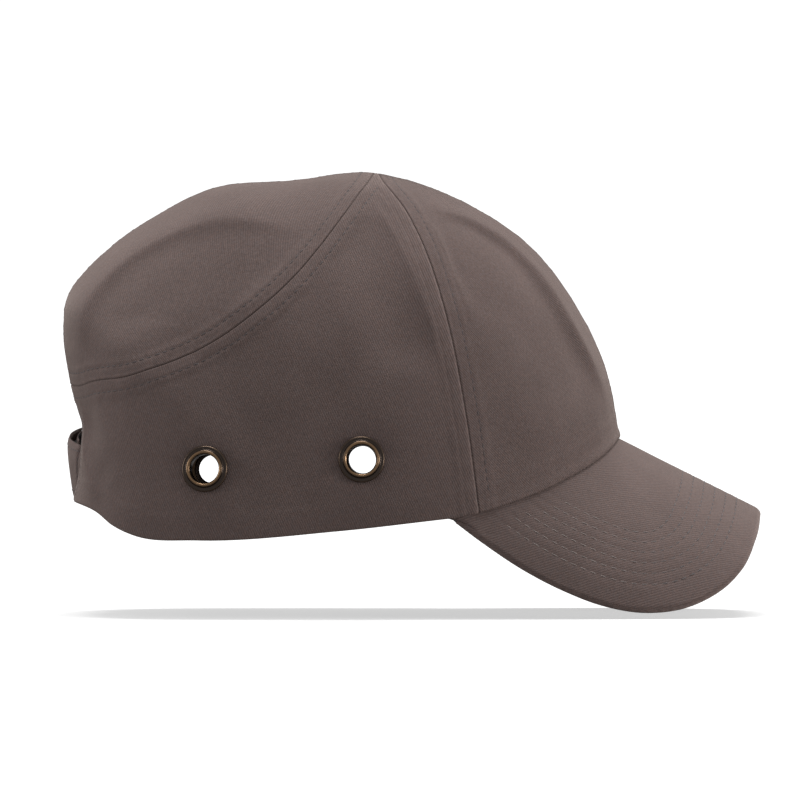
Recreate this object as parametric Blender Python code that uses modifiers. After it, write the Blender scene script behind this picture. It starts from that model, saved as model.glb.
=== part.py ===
"""Baseball-style bump cap: a sewn six-panel fabric crown with a curved visor, four brass eyelets and
a hook-and-loop closure at the back, over a removable plastic impact shell lined with foam pads.

Frame: metres, +X towards the visor, +Y to the wearer's left, +Z up. The origin is the middle of the
cap's bounding box in X and Y, at the height of the visor's lowest points.
"""

import math

import bmesh
import bpy
import numpy as np
from mathutils import Matrix, Vector

# ---------------------------------------------------------------- driving dimensions
HALF_WIDTH = 0.0885  # fabric crown, at the hem
SQUARENESS = 2.4  # exponent of the crown's superelliptic sections; 2 would be an ellipse
SQUARENESS_REAR = 1.3  # added to it low down at the back, where the crown is boxier
CORE = np.array([-0.027, 0.0, 0.024])  # the point that every crown section is centred on

# Centre line of the crown from the visor's root, over the top, down to the hem at the back (x, z).
CROWN_PROFILE = [
    (0.0840, 0.024), (0.0822, 0.069), (0.0795, 0.088), (0.0680, 0.117), (0.0470, 0.1455),
    (0.0180, 0.1645), (-0.0150, 0.1748), (-0.0500, 0.1720), (-0.0790, 0.1692), (-0.1020, 0.1580),
    (-0.1270, 0.1395), (-0.1375, 0.1260), (-0.1388, 0.1080), (-0.1340, 0.0840), (-0.1322, 0.0760),
    (-0.1332, 0.0680), (-0.1372, 0.0450), (-0.1385, 0.0240),
]
# The same for the sides of the crown, which have no waist above the closure.
SIDE_PROFILE = CROWN_PROFILE[:13] + [(-0.1376, 0.0750), (-0.1355, 0.0240)]
APEX = (-0.0145, 0.1748)  # where the six panels meet (x, z)

# Seams and edges of the crown's right half, seen from the side (x, z).
FRONT_SEAM = [APEX, (-0.0108, 0.1700), (-0.0010, 0.1566), (0.0110, 0.1258), (0.0186, 0.0926), (0.0238, 0.0586)]
FRONT_SEAM_FOOT_X = 0.0258
CROWN_SEAM = [
    APEX, (-0.0190, 0.1690), (-0.0366, 0.1448), (-0.0622, 0.1187), (-0.0862, 0.1030),
    (-0.1103, 0.0941), (-0.1280, 0.0912), (-0.1362, 0.0908),
]
HEM = [(-0.0290, 0.0326), (-0.0850, 0.0290), (-0.1090, 0.0306), (-0.1190, 0.0350), (-0.1270, 0.0405)]
HEM_END_Z = 0.0446
ARCH_HALF_WIDTH = 0.037  # the opening above the closure, an ellipse seen from behind
ARCH_HALF_HEIGHT = 0.021
ARCH_CENTRE_Z = 0.062

FABRIC = 0.0008  # thickness of one ply of twill
GAP = 0.0003  # clearance between neighbouring pieces
TIP_TRIM = 0.03  # share of a panel's length left off its point at the apex

# Visor: a flat blank bent round a cylinder whose axis runs along the visor.
VISOR_ROOT = np.array([0.0822, 0.0, 0.0694])
VISOR_SLOPE = math.radians(26.6)
VISOR_BEND = 0.0906  # radius of the bend
VISOR_WING_X = 0.0130  # where the visor's wings end against the side panels
# Outer edge of the flat blank: (distance round the bend, distance forward of the root).
VISOR_OUTLINE = [
    (0.0000, 0.0633), (0.0146, 0.0635), (0.0445, 0.0659), (0.0667, 0.0662), (0.0813, 0.0626),
    (0.0982, 0.0519), (0.1078, 0.0386), (0.1130, 0.0232), (0.1149, 0.0063), (0.1146, -0.0116),
    (0.1120, -0.0307), (0.1096, -0.0435),
]
VISOR_BOARD = 0.0018
VISOR_CLEARANCE = 0.0006  # between the visor's inner edge and the crown

SWEATBAND = 0.0016
SWEATBAND_DEPTH = FABRIC + 0.0007
# Top edge of the sweatband, seen from the side (x, z), from the forehead to its rear end.
SWEATBAND_TOP = [
    (0.0790, 0.0950), (0.0520, 0.0800), (0.0200, 0.0600), (-0.0060, 0.0488), (-0.0450, 0.0460),
    (-0.1000, 0.0455),
]
SWEATBAND_END_X = -0.1060

TAPE_WIDTH = 0.011
TAPE = 0.0004
TAPE_DEPTH = FABRIC + 0.0011

# Eyelets, seen from the side (x, z), and their turned section.
EYELETS = {"front": (-0.0201, 0.0608), "rear": (-0.0816, 0.0571)}
EYELET_BORE = 0.0057
EYELET_FLANGE = 0.0091
EYELET_HOLE = 0.0070  # hole in the fabric

# Removable impact shell.
SHELL = 0.0016
SHELL_GAP_TOP = 0.0030  # from the crown's outer face, where the shell faces up
SHELL_GAP_SIDE = 0.0050  # the same, where it faces sideways and has to slide past the sweatband
SHELL_EDGE_FRONT_Z = 0.0990
SHELL_EDGE_SIDE_Z = 0.0735
SHELL_EDGE_REAR_Z = 0.0960
PAD = 0.0050
PAD_GAP = 0.0006

# Closure: two straps lying on arcs about one upright line.
STRAP_AXIS_X = -0.0550
STRAP_RADIUS = 0.0820  # outer face of the hook strap
STRAP = 0.0010
PATCH = 0.0007
STRAP_BOTTOM_Z = 0.0458
STRAP_TOP_Z = 0.0694
FOLD_TOP_Y, FOLD_BOTTOM_Y = -0.0270, -0.0145  # the line that the hook strap peels back from
TAIL_END_TOP_Y, TAIL_END_BOTTOM_Y = 0.0260, 0.0150
ROOT_END_Y = -0.0395
LOOP_ROOT_Y, LOOP_END_Y = 0.0385, -0.0120
LOOP_RISE = 0.0034  # how much taller the loop strap stands at its root
BINDING_RADIUS = 0.0010


# ---------------------------------------------------------------- curves
def resample(points, count):
    """`count` points, evenly spaced along a dense polyline."""
    steps = np.linalg.norm(np.diff(points, axis=0), axis=1)
    length = np.concatenate([[0.0], np.cumsum(steps)])
    at = np.linspace(0.0, length[-1], count)
    return np.stack([np.interp(at, length, column) for column in points.T], axis=1)


def smooth_curve(points, count):
    """`count` evenly spaced points on a curve that passes smoothly through `points`."""
    points = np.asarray(points, float)
    steps = np.linalg.norm(np.diff(points, axis=0), axis=1)
    knots = np.concatenate([[0.0], np.cumsum(steps)])
    slopes = np.gradient(points, knots, axis=0)
    fine = np.linspace(0.0, knots[-1], 50 * len(points))
    span = np.clip(np.searchsorted(knots, fine, side="right") - 1, 0, len(steps) - 1)
    t = ((fine - knots[span]) / steps[span])[:, None]
    size = steps[span][:, None]
    curve = (
        (2 * t**3 - 3 * t**2 + 1) * points[span]
        + (t**3 - 2 * t**2 + t) * size * slopes[span]
        + (3 * t**2 - 2 * t**3) * points[span + 1]
        + (t**3 - t**2) * size * slopes[span + 1]
    )
    return resample(curve, count)


# ---------------------------------------------------------------- the crown's surface
def polar(profile):
    """A profile as (angle, reach) about CORE, to look up by angle."""
    line = smooth_curve(profile, 900) - CORE[[0, 2]]
    line[:, 1] = np.maximum(line[:, 1], 1e-6)
    return np.arctan2(line[:, 1], line[:, 0]), np.hypot(line[:, 0], line[:, 1])


MIDDLE, SIDE = polar(CROWN_PROFILE), polar(SIDE_PROFILE)


def crown_share(points):
    """How far out each point lies: 1 on the crown's outer face, less inside it."""
    rel = np.asarray(points, float) - CORE
    angle = np.arctan2(rel[..., 2], rel[..., 0])
    level = np.hypot(rel[..., 0], rel[..., 2])
    sideways = np.clip(np.abs(rel[..., 1]) / np.hypot(level, rel[..., 1]) / 0.3 - 1.0, 0.0, 1.0)
    blend = sideways**2 * (3 - 2 * sideways)
    reach = np.interp(angle, *MIDDLE) * (1 - blend) + np.interp(angle, *SIDE) * blend
    low = np.clip(1.0 - np.sin(angle) / 0.8, 0.0, 1.0)
    power = SQUARENESS + SQUARENESS_REAR * low * np.clip(-np.cos(angle), 0.0, 1.0)
    across = np.abs(rel[..., 1]) / HALF_WIDTH
    return ((level / reach) ** power + across**power) ** (1 / power)


def on_crown(points):
    """The points moved straight out from, or in towards, CORE on to the crown's outer face."""
    rel = np.asarray(points, float) - CORE
    return CORE + rel / crown_share(points)[..., None]


def outward(points):
    """Unit normals of the crown at the points."""
    step = 0.0004
    slope = [
        crown_share(points + step * axis) - crown_share(points - step * axis)
        for axis in np.eye(3)
    ]
    normal = np.stack(slope, axis=-1)
    return normal / np.linalg.norm(normal, axis=-1, keepdims=True)


def under_crown(points, depth):
    """The points put on the crown's outer face, then moved in by `depth` along its normal."""
    surface = on_crown(points)
    return surface - outward(surface) * np.asarray(depth)[..., None]


def meet_crown(starts, direction, reach):
    """Where lines from points inside the crown, along `direction`, pass through its outer face."""
    starts = np.asarray(starts, float)
    low, high = np.zeros(len(starts)), np.full(len(starts), reach)
    for _ in range(40):
        middle = (low + high) / 2
        inside = crown_share(starts + middle[:, None] * direction) < 1.0
        low = np.where(inside, middle, low)
        high = np.where(inside, high, middle)
    return starts + low[:, None] * direction


def seam_line(side_view):
    """A seam of the right half as a dense line from the apex, from its places in the side view."""
    top = np.array([[APEX[0], 0.0, APEX[1]]])
    return on_crown(smooth_curve(np.concatenate([top, right_side(side_view[1:])]), 300))


def right_side(side_view):
    """Points on the crown's right half from their places in the side view (x, z)."""
    side_view = np.asarray(side_view, float)
    starts = np.stack([side_view[:, 0], np.zeros(len(side_view)), side_view[:, 1]], axis=1)
    return meet_crown(starts, np.array([0.0, -1.0, 0.0]), 0.12)


def centre_line(start, end, count):
    """Points on the crown in its plane of symmetry between two points (x, z), by angle about CORE."""
    first = math.atan2(start[1] - CORE[2], start[0] - CORE[0])
    last = math.atan2(end[1] - CORE[2], end[0] - CORE[0])
    angle = np.linspace(first, last, 400)
    reach = np.interp(angle, *MIDDLE)
    line = np.stack([reach * np.cos(angle), 0 * angle, reach * np.sin(angle)], axis=1) + CORE
    return resample(line, count)


# ---------------------------------------------------------------- the visor's surface
FORWARD = np.array([math.cos(VISOR_SLOPE), 0.0, -math.sin(VISOR_SLOPE)])
UPWARD = np.array([math.sin(VISOR_SLOPE), 0.0, math.cos(VISOR_SLOPE)])
SIDEWAYS = np.array([0.0, -1.0, 0.0])


def visor_point(round_bend, forward, depth):
    """A point of the visor's right half, from its place on the flat blank and depth below the top."""
    angle = np.asarray(round_bend) / VISOR_BEND
    radius = VISOR_BEND - np.asarray(depth)
    sideways = (radius * np.sin(angle))[..., None] * SIDEWAYS
    drop = (VISOR_BEND - radius * np.cos(angle))[..., None] * UPWARD
    return VISOR_ROOT + np.asarray(forward)[..., None] * FORWARD + sideways - drop


def visor_root_line(count=160):
    """(distance round the bend, distance forward) of the line where the visor meets the crown."""
    round_bend = np.linspace(0.0, VISOR_BEND * math.radians(80.0), count)
    starts = visor_point(round_bend, np.full(count, -0.085), np.zeros(count))
    ends = meet_crown(starts, FORWARD, 0.10)
    return round_bend, (ends - VISOR_ROOT) @ FORWARD, ends


ROOT_ROUND, ROOT_FORWARD, ROOT_POINTS = visor_root_line()
_keep = ROOT_POINTS[:, 0] >= VISOR_WING_X
ROOT_ROUND, ROOT_FORWARD, ROOT_POINTS = ROOT_ROUND[_keep], ROOT_FORWARD[_keep], ROOT_POINTS[_keep]


# ---------------------------------------------------------------- seams and edges, right half
def seam_lines():
    """The crown's seams and edges as dense lines on its outer face, right half."""
    centre_foot = ROOT_POINTS[0]
    before_foot = ROOT_POINTS[ROOT_POINTS[:, 0] >= FRONT_SEAM_FOOT_X]
    after_foot = ROOT_POINTS[ROOT_POINTS[:, 0] < FRONT_SEAM_FOOT_X]
    foot = before_foot[-1]
    front_seam = seam_line(FRONT_SEAM + [(foot[0], foot[2])])
    crown_seam = seam_line(CROWN_SEAM)

    sweep = np.linspace(0.0, math.radians(165.0), 200)
    arch = np.stack(
        [
            np.full(len(sweep), CORE[0]),
            -ARCH_HALF_WIDTH * np.sin(sweep),
            ARCH_CENTRE_Z + ARCH_HALF_HEIGHT * np.cos(sweep),
        ],
        axis=1,
    )
    arch = meet_crown(arch[arch[:, 2] >= HEM_END_Z], np.array([-1.0, 0.0, 0.0]), 0.14)
    back_seam = centre_line(CROWN_SEAM[-1], (arch[0, 0], arch[0, 2]), 30)

    wing = after_foot[-1]
    hem_view = [(wing[0], wing[2]), *HEM, (arch[-1, 0], arch[-1, 2])]
    hem = right_side(smooth_curve(hem_view, 300))
    hem[-1] = arch[-1]
    return {
        "centre_front": centre_line(APEX, (centre_foot[0], centre_foot[2]), 200),
        "centre_back": centre_line(APEX, CROWN_SEAM[-1], 200),
        "front_seam": front_seam,
        "crown_seam": crown_seam,
        "front_foot": before_foot[::-1],
        "arch": arch,
        "back_edge": np.concatenate([back_seam[:-1], arch]),
        "lower_edge": np.concatenate([[foot], after_foot, hem[1:]]),
    }


LINES = seam_lines()


def patch(top, bottom, left, right):
    """A grid of points on the crown, filled in between four edges. Rows run from top to bottom."""
    rows, columns = len(left), len(top)
    u = np.linspace(0.0, 1.0, columns)[None, :, None]
    v = np.linspace(0.0, 1.0, rows)[:, None, None]
    grid = (
        (1 - v) * top[None]
        + v * bottom[None]
        + (1 - u) * left[:, None]
        + u * right[:, None]
        - (1 - u) * (1 - v) * top[0]
        - u * (1 - v) * top[-1]
        - (1 - u) * v * bottom[0]
        - u * v * bottom[-1]
    )
    return on_crown(grid)


def drawn_in(grid, distance):
    """The grid with its outermost rows and columns pulled inwards by `distance`."""
    grid = grid.copy()
    for edge, inner in ((np.s_[0], np.s_[1]), (np.s_[-1], np.s_[-2])):
        for table in (grid, grid.transpose(1, 0, 2)):
            pull = table[inner] - table[edge]
            size = np.maximum(np.linalg.norm(pull, axis=1, keepdims=True), 1e-9)
            table[edge] += pull / size * np.minimum(distance, size / 2)
    return grid


# ---------------------------------------------------------------- Blender helpers
def clear_scene():
    for obj in list(bpy.data.objects):
        bpy.data.objects.remove(obj, do_unlink=True)


def new_collection(name):
    collection = bpy.data.collections.new(name)
    bpy.context.scene.collection.children.link(collection)
    return collection


def new_material(name, colour, roughness, metallic=0.0):
    material = bpy.data.materials.new(name)
    material.use_nodes = True
    shader = material.node_tree.nodes["Principled BSDF"]
    shader.inputs["Base Color"].default_value = (*colour, 1.0)
    shader.inputs["Roughness"].default_value = roughness
    shader.inputs["Metallic"].default_value = metallic
    material.diffuse_color = (*colour, 1.0)
    return material


def new_empty(name, location, parent=None):
    empty = bpy.data.objects.new(name, None)
    PARTS.objects.link(empty)
    empty.location = location
    if parent:
        empty.parent = parent
        empty.matrix_parent_inverse = Matrix.Translation(parent.location).inverted()
    return empty


def add_object(name, mesh, material, parent, matrix=Matrix.Identity(4)):
    """An object of the cap, standing at `matrix` in the world and parented to an empty."""
    mesh.materials.append(material)
    obj = bpy.data.objects.new(name, mesh)
    PARTS.objects.link(obj)
    obj.parent = parent
    obj.matrix_parent_inverse = Matrix.Translation(parent.location).inverted()
    obj.matrix_basis = matrix
    return obj


def sheet_mesh(name, grid, join_ends=False):
    """An open sheet through a table of points, its faces turned away from the crown's core."""
    rows, columns = grid.shape[:2]
    bm = bmesh.new()
    bmesh.ops.create_grid(bm, x_segments=columns - 1, y_segments=rows - 1, size=0.5)
    for vertex in bm.verts:
        column = round((vertex.co.x + 0.5) * (columns - 1))
        row = round((vertex.co.y + 0.5) * (rows - 1))
        vertex.co = grid[row, column]
    if join_ends:
        bmesh.ops.remove_doubles(bm, verts=bm.verts, dist=1e-6)
    bm.normal_update()
    facing = sum((f.calc_center_median() - Vector(CORE)).dot(f.normal) for f in bm.faces)
    if facing < 0:
        bmesh.ops.reverse_faces(bm, faces=bm.faces)
    for face in bm.faces:
        face.smooth = True
    mesh = bpy.data.meshes.new(name)
    bm.to_mesh(mesh)
    bm.free()
    return mesh


def mirror_y(obj):
    """Completes a half that is open at the plane of symmetry."""
    mirror = obj.modifiers.new("Mirror", "MIRROR")
    mirror.use_axis = (False, True, False)
    mirror.merge_threshold = 0.0001
    return mirror


def thicken(obj, thickness):
    """Gives a sheet its thickness, from its own surface inwards."""
    solid = obj.modifiers.new("Solidify", "SOLIDIFY")
    solid.thickness = thickness
    solid.offset = -1.0
    solid.use_even_offset = True
    return solid


def sheet(name, grid, thickness, material, parent, whole=False, join_ends=False):
    """A thin solid from a table of points; `whole` mirrors a right half into one piece."""
    obj = add_object(name, sheet_mesh(name, grid, join_ends), material, parent)
    if whole:
        mirror_y(obj)
    thicken(obj, thickness)
    return obj


def both_sides(name, grid, thickness, material, parent):
    """The right-hand piece and its left-hand twin."""
    return {
        side: sheet(f"{name}_{side}", grid * (1, sign, 1), thickness, material, parent)
        for side, sign in (("right", 1), ("left", -1))
    }


def pointing(place, direction):
    """A matrix that stands local +Z along `direction` at `place`."""
    turn = Vector(direction).to_track_quat("Z", "Y").to_matrix().to_4x4()
    return Matrix.Translation(Vector(place)) @ turn


def turned(name, section, material, parent, matrix, segments=22):
    """A ring turned about local Z from a closed section of (radius, height) points."""
    bm = bmesh.new()
    verts = [bm.verts.new((radius, 0.0, height)) for radius, height in section]
    for first, second in zip(verts, verts[1:] + verts[:1]):
        bm.edges.new((first, second))
    mesh = bpy.data.meshes.new(name)
    bm.to_mesh(mesh)
    bm.free()
    obj = add_object(name, mesh, material, parent, matrix)
    screw = obj.modifiers.new("Screw", "SCREW")
    screw.steps = screw.render_steps = segments
    screw.use_merge_vertices = True
    screw.merge_threshold = 0.00001
    screw.use_smooth_shade = True
    return obj


def cutter(name, place, direction, radius, length=0.0, along=None, depth=0.012, segments=20):
    """A hidden round or oblong punch, centred on `place` and pushed through along `direction`."""
    bm = bmesh.new()
    bmesh.ops.create_cone(
        bm, cap_ends=True, segments=segments, radius1=radius, radius2=radius, depth=2 * depth
    )
    for vertex in bm.verts:
        vertex.co.x += math.copysign(length / 2, vertex.co.x)
    mesh = bpy.data.meshes.new(name)
    bm.to_mesh(mesh)
    bm.free()
    obj = bpy.data.objects.new(name, mesh)
    CUTTERS.objects.link(obj)
    z_axis = Vector(direction).normalized()
    x_axis = Vector(along if along is not None else (1, 0, 0))
    x_axis = (x_axis - x_axis.dot(z_axis) * z_axis).normalized()
    turn = Matrix((x_axis, z_axis.cross(x_axis), z_axis)).transposed().to_4x4()
    obj.matrix_world = Matrix.Translation(Vector(place)) @ turn
    obj.hide_render = True
    obj.display_type = "WIRE"
    return obj


def cut(obj, punch):
    boolean = obj.modifiers.new(punch.name, "BOOLEAN")
    boolean.operation = "DIFFERENCE"
    boolean.object = punch
    boolean.solver = "EXACT"


# ---------------------------------------------------------------- fabric crown
def make_front_panels():
    rows, columns = 14, 8
    grid = patch(
        np.repeat([LINES["centre_front"][0]], columns, axis=0),
        resample(LINES["front_foot"], columns),
        resample(LINES["front_seam"], rows + 1),
        resample(LINES["centre_front"], rows + 1),
    )
    both_sides("front_panel", trimmed(grid), FABRIC, TWILL, CAP)


def make_crown_panels():
    rows, columns = 16, 9
    grid = patch(
        np.repeat([LINES["centre_back"][0]], columns, axis=0),
        np.repeat([LINES["centre_back"][-1]], columns, axis=0),
        resample(LINES["crown_seam"], rows + 1),
        resample(LINES["centre_back"], rows + 1),
    )
    both_sides("crown_panel", trimmed(grid, both_ends=True), FABRIC, TWILL, CAP)


def trimmed(grid, both_ends=False):
    """The grid with its pointed end cut short, drawn in from its neighbours, clear of the visor."""
    grid = grid.copy()
    grid[0] = grid[0] + (grid[1] - grid[0]) * TIP_TRIM / (1 / (len(grid) - 1))
    if both_ends:
        grid[-1] = grid[-1] + (grid[-2] - grid[-1]) * TIP_TRIM / (1 / (len(grid) - 1))
    return drawn_in(on_crown(grid), GAP)


def make_side_panels():
    rows, columns = 14, 18
    grid = patch(
        resample(LINES["crown_seam"], columns),
        resample(LINES["lower_edge"], columns),
        resample(LINES["front_seam"], rows),
        resample(LINES["back_edge"], rows),
    )
    corner = grid[1, 1] - grid[0, 0]
    grid[0, 0] = grid[0, 0] + corner * 0.35
    panels = both_sides("side_panel", drawn_in(on_crown(grid), GAP), FABRIC, TWILL, CAP)
    for place in EYELETS:
        for side, panel in panels.items():
            spot, normal = eyelet_spot(place, side)
            cut(panel, cutter(f"cut_{place}_{side}", spot, normal, EYELET_HOLE))


def eyelet_spot(place, side):
    """Place and outward direction of an eyelet on the crown's outer face."""
    spot = right_side([EYELETS[place]])
    normal = outward(spot)
    sign = (1, 1, 1) if side == "right" else (1, -1, 1)
    return spot[0] * sign, normal[0] * sign


def make_seam_tapes():
    """Tapes that cover the seams' raw edges on the inside of the crown."""
    depth = TAPE_DEPTH
    apex_gap = 0.037
    for name in ("front_seam", "crown_seam"):
        line = LINES[name]
        away = np.linalg.norm(line - line[0], axis=1) > apex_gap
        if name == "crown_seam":
            away &= np.abs(line[:, 1]) > TAPE_WIDTH
        else:
            away &= line[:, 2] > SWEATBAND_TOP[2][1] + 0.006
        both_sides(f"{name}_tape", strip(resample(line[away], 13), depth), TAPE, TAPE_BLACK, CAP)
    front_end = (SWEATBAND_TOP[0][0], SWEATBAND_TOP[0][1] + 0.002)
    back_end = (LINES["arch"][0, 0], LINES["arch"][0, 2] + 0.003)
    spine = np.concatenate(
        [centre_line(front_end, APEX, 12)[:-1], centre_line(APEX, back_end, 17)]
    )
    sheet("centre_seam_tape", strip(spine, depth), TAPE, TAPE_BLACK, CAP)


def strip(line, depth):
    """A ribbon of tape along a line on the crown, `depth` below its outer face."""
    along = np.gradient(line, axis=0)
    across = np.cross(outward(line), along)
    across /= np.linalg.norm(across, axis=1, keepdims=True)
    edges = [line + across * TAPE_WIDTH * share for share in (-0.5, 0.0, 0.5)]
    return under_crown(np.stack(edges, axis=1), np.full((len(line), 3), depth))


def make_sweatband():
    rows, columns = 4, 22
    bottom = np.concatenate([LINES["front_foot"][::-1], LINES["lower_edge"][1:]])
    bottom = bottom[bottom[:, 0] > SWEATBAND_END_X]
    top = right_side(smooth_curve(SWEATBAND_TOP + [(SWEATBAND_END_X, 0.044)], 300))
    top[0, 1] = 0.0
    bottom, top = resample(bottom, columns), resample(top, columns)
    share = np.linspace(0.0, 1.0, rows)[:, None, None]
    grid = (1 - share) * top[None] + share * bottom[None]
    grid[-1, :, 2] += 0.0010
    band = under_crown(grid, np.full(grid.shape[:2], SWEATBAND_DEPTH))
    band[:, 0, 1] = 0.0
    sheet("sweatband", band, SWEATBAND, TERRY, CAP, whole=True)


def make_arch_binding():
    """Tape folded over the edge of the opening at the back, drawn as a round bead along it."""
    right = LINES["arch"]
    right = right[right[:, 2] > STRAP_TOP_Z + 0.0035]
    whole = resample(np.concatenate([right[::-1], right[1:] * (1, -1, 1)]), 23)
    normal = outward(on_crown(whole))
    along = np.gradient(whole, axis=0)
    inward = np.cross(normal, along)
    inward /= np.linalg.norm(inward, axis=1, keepdims=True)
    centre = np.array([whole[:, 0].min(), 0.0, ARCH_CENTRE_Z])
    inward *= np.sign(((centre - whole) * inward).sum(axis=1, keepdims=True))
    path = whole + inward * (BINDING_RADIUS + GAP) - normal * FABRIC / 2
    path = path[1:-1]
    curve = bpy.data.curves.new("arch_binding", "CURVE")
    curve.dimensions = "3D"
    curve.bevel_depth = BINDING_RADIUS
    curve.bevel_resolution = 1
    curve.use_fill_caps = True
    spline = curve.splines.new("POLY")
    spline.points.add(len(path) - 1)
    for point, place in zip(spline.points, path):
        point.co = (*place, 1.0)
    add_object("arch_binding", curve, TAPE_BLACK, CAP)


# ---------------------------------------------------------------- eyelets
def make_eyelets():
    for place in EYELETS:
        for side in ("right", "left"):
            spot, normal = eyelet_spot(place, side)
            matrix = pointing(spot, normal)
            turned(f"eyelet_{place}_{side}", eyelet_section(), BRASS, CAP, matrix)
            turned(f"eyelet_washer_{place}_{side}", washer_section(), BRASS, CAP, matrix)


def eyelet_section():
    """Flat flange on the outside, a raised bead round the bore, a barrel and a rolled lip inside."""
    bore, flange = EYELET_BORE, EYELET_FLANGE
    return [
        (bore + 0.0008, 0.0020), (bore + 0.0015, 0.0017), (bore + 0.0018, 0.0009),
        (flange, 0.0009), (flange, 0.0002), (bore + 0.0006, 0.0002),
        (bore + 0.0006, -0.0026), (bore + 0.0017, -0.0027), (bore + 0.0017, -0.0032),
        (bore, -0.0032), (bore, 0.0014),
    ]


def washer_section():
    """The washer that the barrel's lip is rolled over, inside the crown."""
    inner, outer = EYELET_BORE + 0.0009, EYELET_FLANGE
    top, bottom = -0.0017, -0.0023
    return [(outer, top), (outer, bottom), (inner, bottom), (inner, top)]


# ---------------------------------------------------------------- visor
def visor_grid(depth, edge_inset, rows=6, columns=18):
    """Right half of one visor layer: rows from its root to its outer edge."""
    inner_round = np.linspace(0.0, ROOT_ROUND[-1], columns)
    inner_forward = np.interp(inner_round, ROOT_ROUND, ROOT_FORWARD) + VISOR_CLEARANCE
    outline = smooth_curve(VISOR_OUTLINE, 300)
    outer = resample(outline, columns)
    inner = np.stack([inner_round, inner_forward], axis=1)
    span = outer - inner
    size = np.linalg.norm(span, axis=1, keepdims=True)
    outer = outer - span / size * np.minimum(edge_inset, size / 3)
    share = np.linspace(0.0, 1.0, rows)[:, None, None]
    blank = (1 - share) * inner + share * outer
    grid = visor_point(blank[..., 0], blank[..., 1], np.full(blank.shape[:2], depth))
    grid[:, 0, 1] = 0.0
    return grid


def make_visor():
    board_depth = FABRIC + GAP
    under_depth = board_depth + VISOR_BOARD + GAP
    sheet("visor_top_cover", visor_grid(GAP, 0.0), FABRIC, TWILL, CAP, whole=True)
    board = visor_grid(board_depth + GAP, 0.002)
    sheet("visor_board", board, VISOR_BOARD, BOARD_WHITE, CAP, whole=True)
    under = visor_grid(under_depth + GAP, 0.0)
    sheet("visor_under_cover", under, FABRIC, TWILL, CAP, whole=True)


# ---------------------------------------------------------------- impact shell and pads
def shell_depth(points):
    """Depth of the shell's outer face below the crown's, by which way the surface faces."""
    up = np.clip(outward(points)[..., 2], 0.0, 1.0) ** 2
    return SHELL_GAP_SIDE + (SHELL_GAP_TOP - SHELL_GAP_SIDE) * up


def shell_edge(azimuth):
    """Points of the crown level with the shell's lower edge, right round the head."""
    front = np.clip(np.cos(azimuth), 0.0, 1.0) ** 2
    rear = np.clip(-np.cos(azimuth), 0.0, 1.0) ** 2
    z = (
        SHELL_EDGE_SIDE_Z
        + (SHELL_EDGE_FRONT_Z - SHELL_EDGE_SIDE_Z) * front
        + (SHELL_EDGE_REAR_Z - SHELL_EDGE_SIDE_Z) * rear
    )
    points = []
    for angle, height in zip(azimuth, z):
        start = np.array([[CORE[0], 0.0, height]])
        direction = np.array([math.cos(angle), math.sin(angle), 0.0])
        points.append(meet_crown(start, direction, 0.15)[0])
    return np.array(points)


def shell_surface(rows=13, columns=36):
    """The crown's outer face over the shell: rows from the top to the shell's edge, right round."""
    azimuth = np.linspace(-math.pi, math.pi, columns + 1)
    edge = shell_edge(azimuth)
    edge[-1] = edge[0]
    top = np.array([APEX[0], 0.0, APEX[1]]) - CORE
    share = np.linspace(0.0, 1.0, rows)[:, None, None]
    edge = edge - CORE
    angle = np.arccos(edge @ top / np.linalg.norm(edge, axis=1) / np.linalg.norm(top))[None, :, None]
    towards = (
        np.sin((1 - share) * angle) * top / np.linalg.norm(top)
        + np.sin(share * angle) * edge / np.linalg.norm(edge, axis=1)[:, None]
    )
    return on_crown(CORE + towards)


def make_impact_shell():
    surface = shell_surface()
    grid = under_crown(surface, shell_depth(surface))
    shell = sheet("impact_shell", grid, SHELL, ABS, LINER, join_ends=True)
    for number, (place, along, length) in enumerate(shell_slots()):
        spot = on_crown(np.array([place]))[0]
        name = f"cut_slot_{number}"
        cut(shell, cutter(name, spot, outward(spot), 0.0030, length, along, segments=12))


def shell_slots():
    """Vent slots of the shell: (rough place, direction, straight length) of each."""
    slots = []
    for x in (0.030, -0.018, -0.066, -0.108):
        for y in (-0.030, 0.030):
            slots.append(((x, y, 0.170), (1, 0, 0), 0.018))
    for x in (0.010, -0.030, -0.070):
        for side in (-1, 1):
            slots.append(((x, side * 0.078, 0.100), (0, 0, 1), 0.014))
    return slots


def pad(name, rows, columns):
    """A foam pad under part of the shell: rows and columns of the shell's surface, ends included."""
    surface = shell_surface()
    count = surface.shape[1] - 1
    chosen = surface[rows[0] : rows[1] + 1][:, np.arange(columns[0], columns[1] + 1) % count]
    grid = under_crown(chosen, shell_depth(chosen) + SHELL + PAD_GAP)
    whole_turn = columns[1] - columns[0] == count
    sheet(name, grid, PAD, FOAM, LINER, join_ends=whole_turn)


def make_pads():
    pad("crown_pad", (0, 4), (0, 36))
    pad("front_pad", (6, 10), (14, 22))
    pad("rear_pad", (6, 10), (-4, 4))
    pad("side_pad_right", (7, 10), (6, 12))
    pad("side_pad_left", (7, 10), (24, 30))


# ---------------------------------------------------------------- closure
def strap_point(y, z, radius):
    """A point on an upright cylinder about the closure's axis, at the back of the cap."""
    y = np.asarray(y)
    return np.stack([STRAP_AXIS_X - np.sqrt(radius**2 - y**2), y, z + 0 * y], axis=-1)


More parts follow.
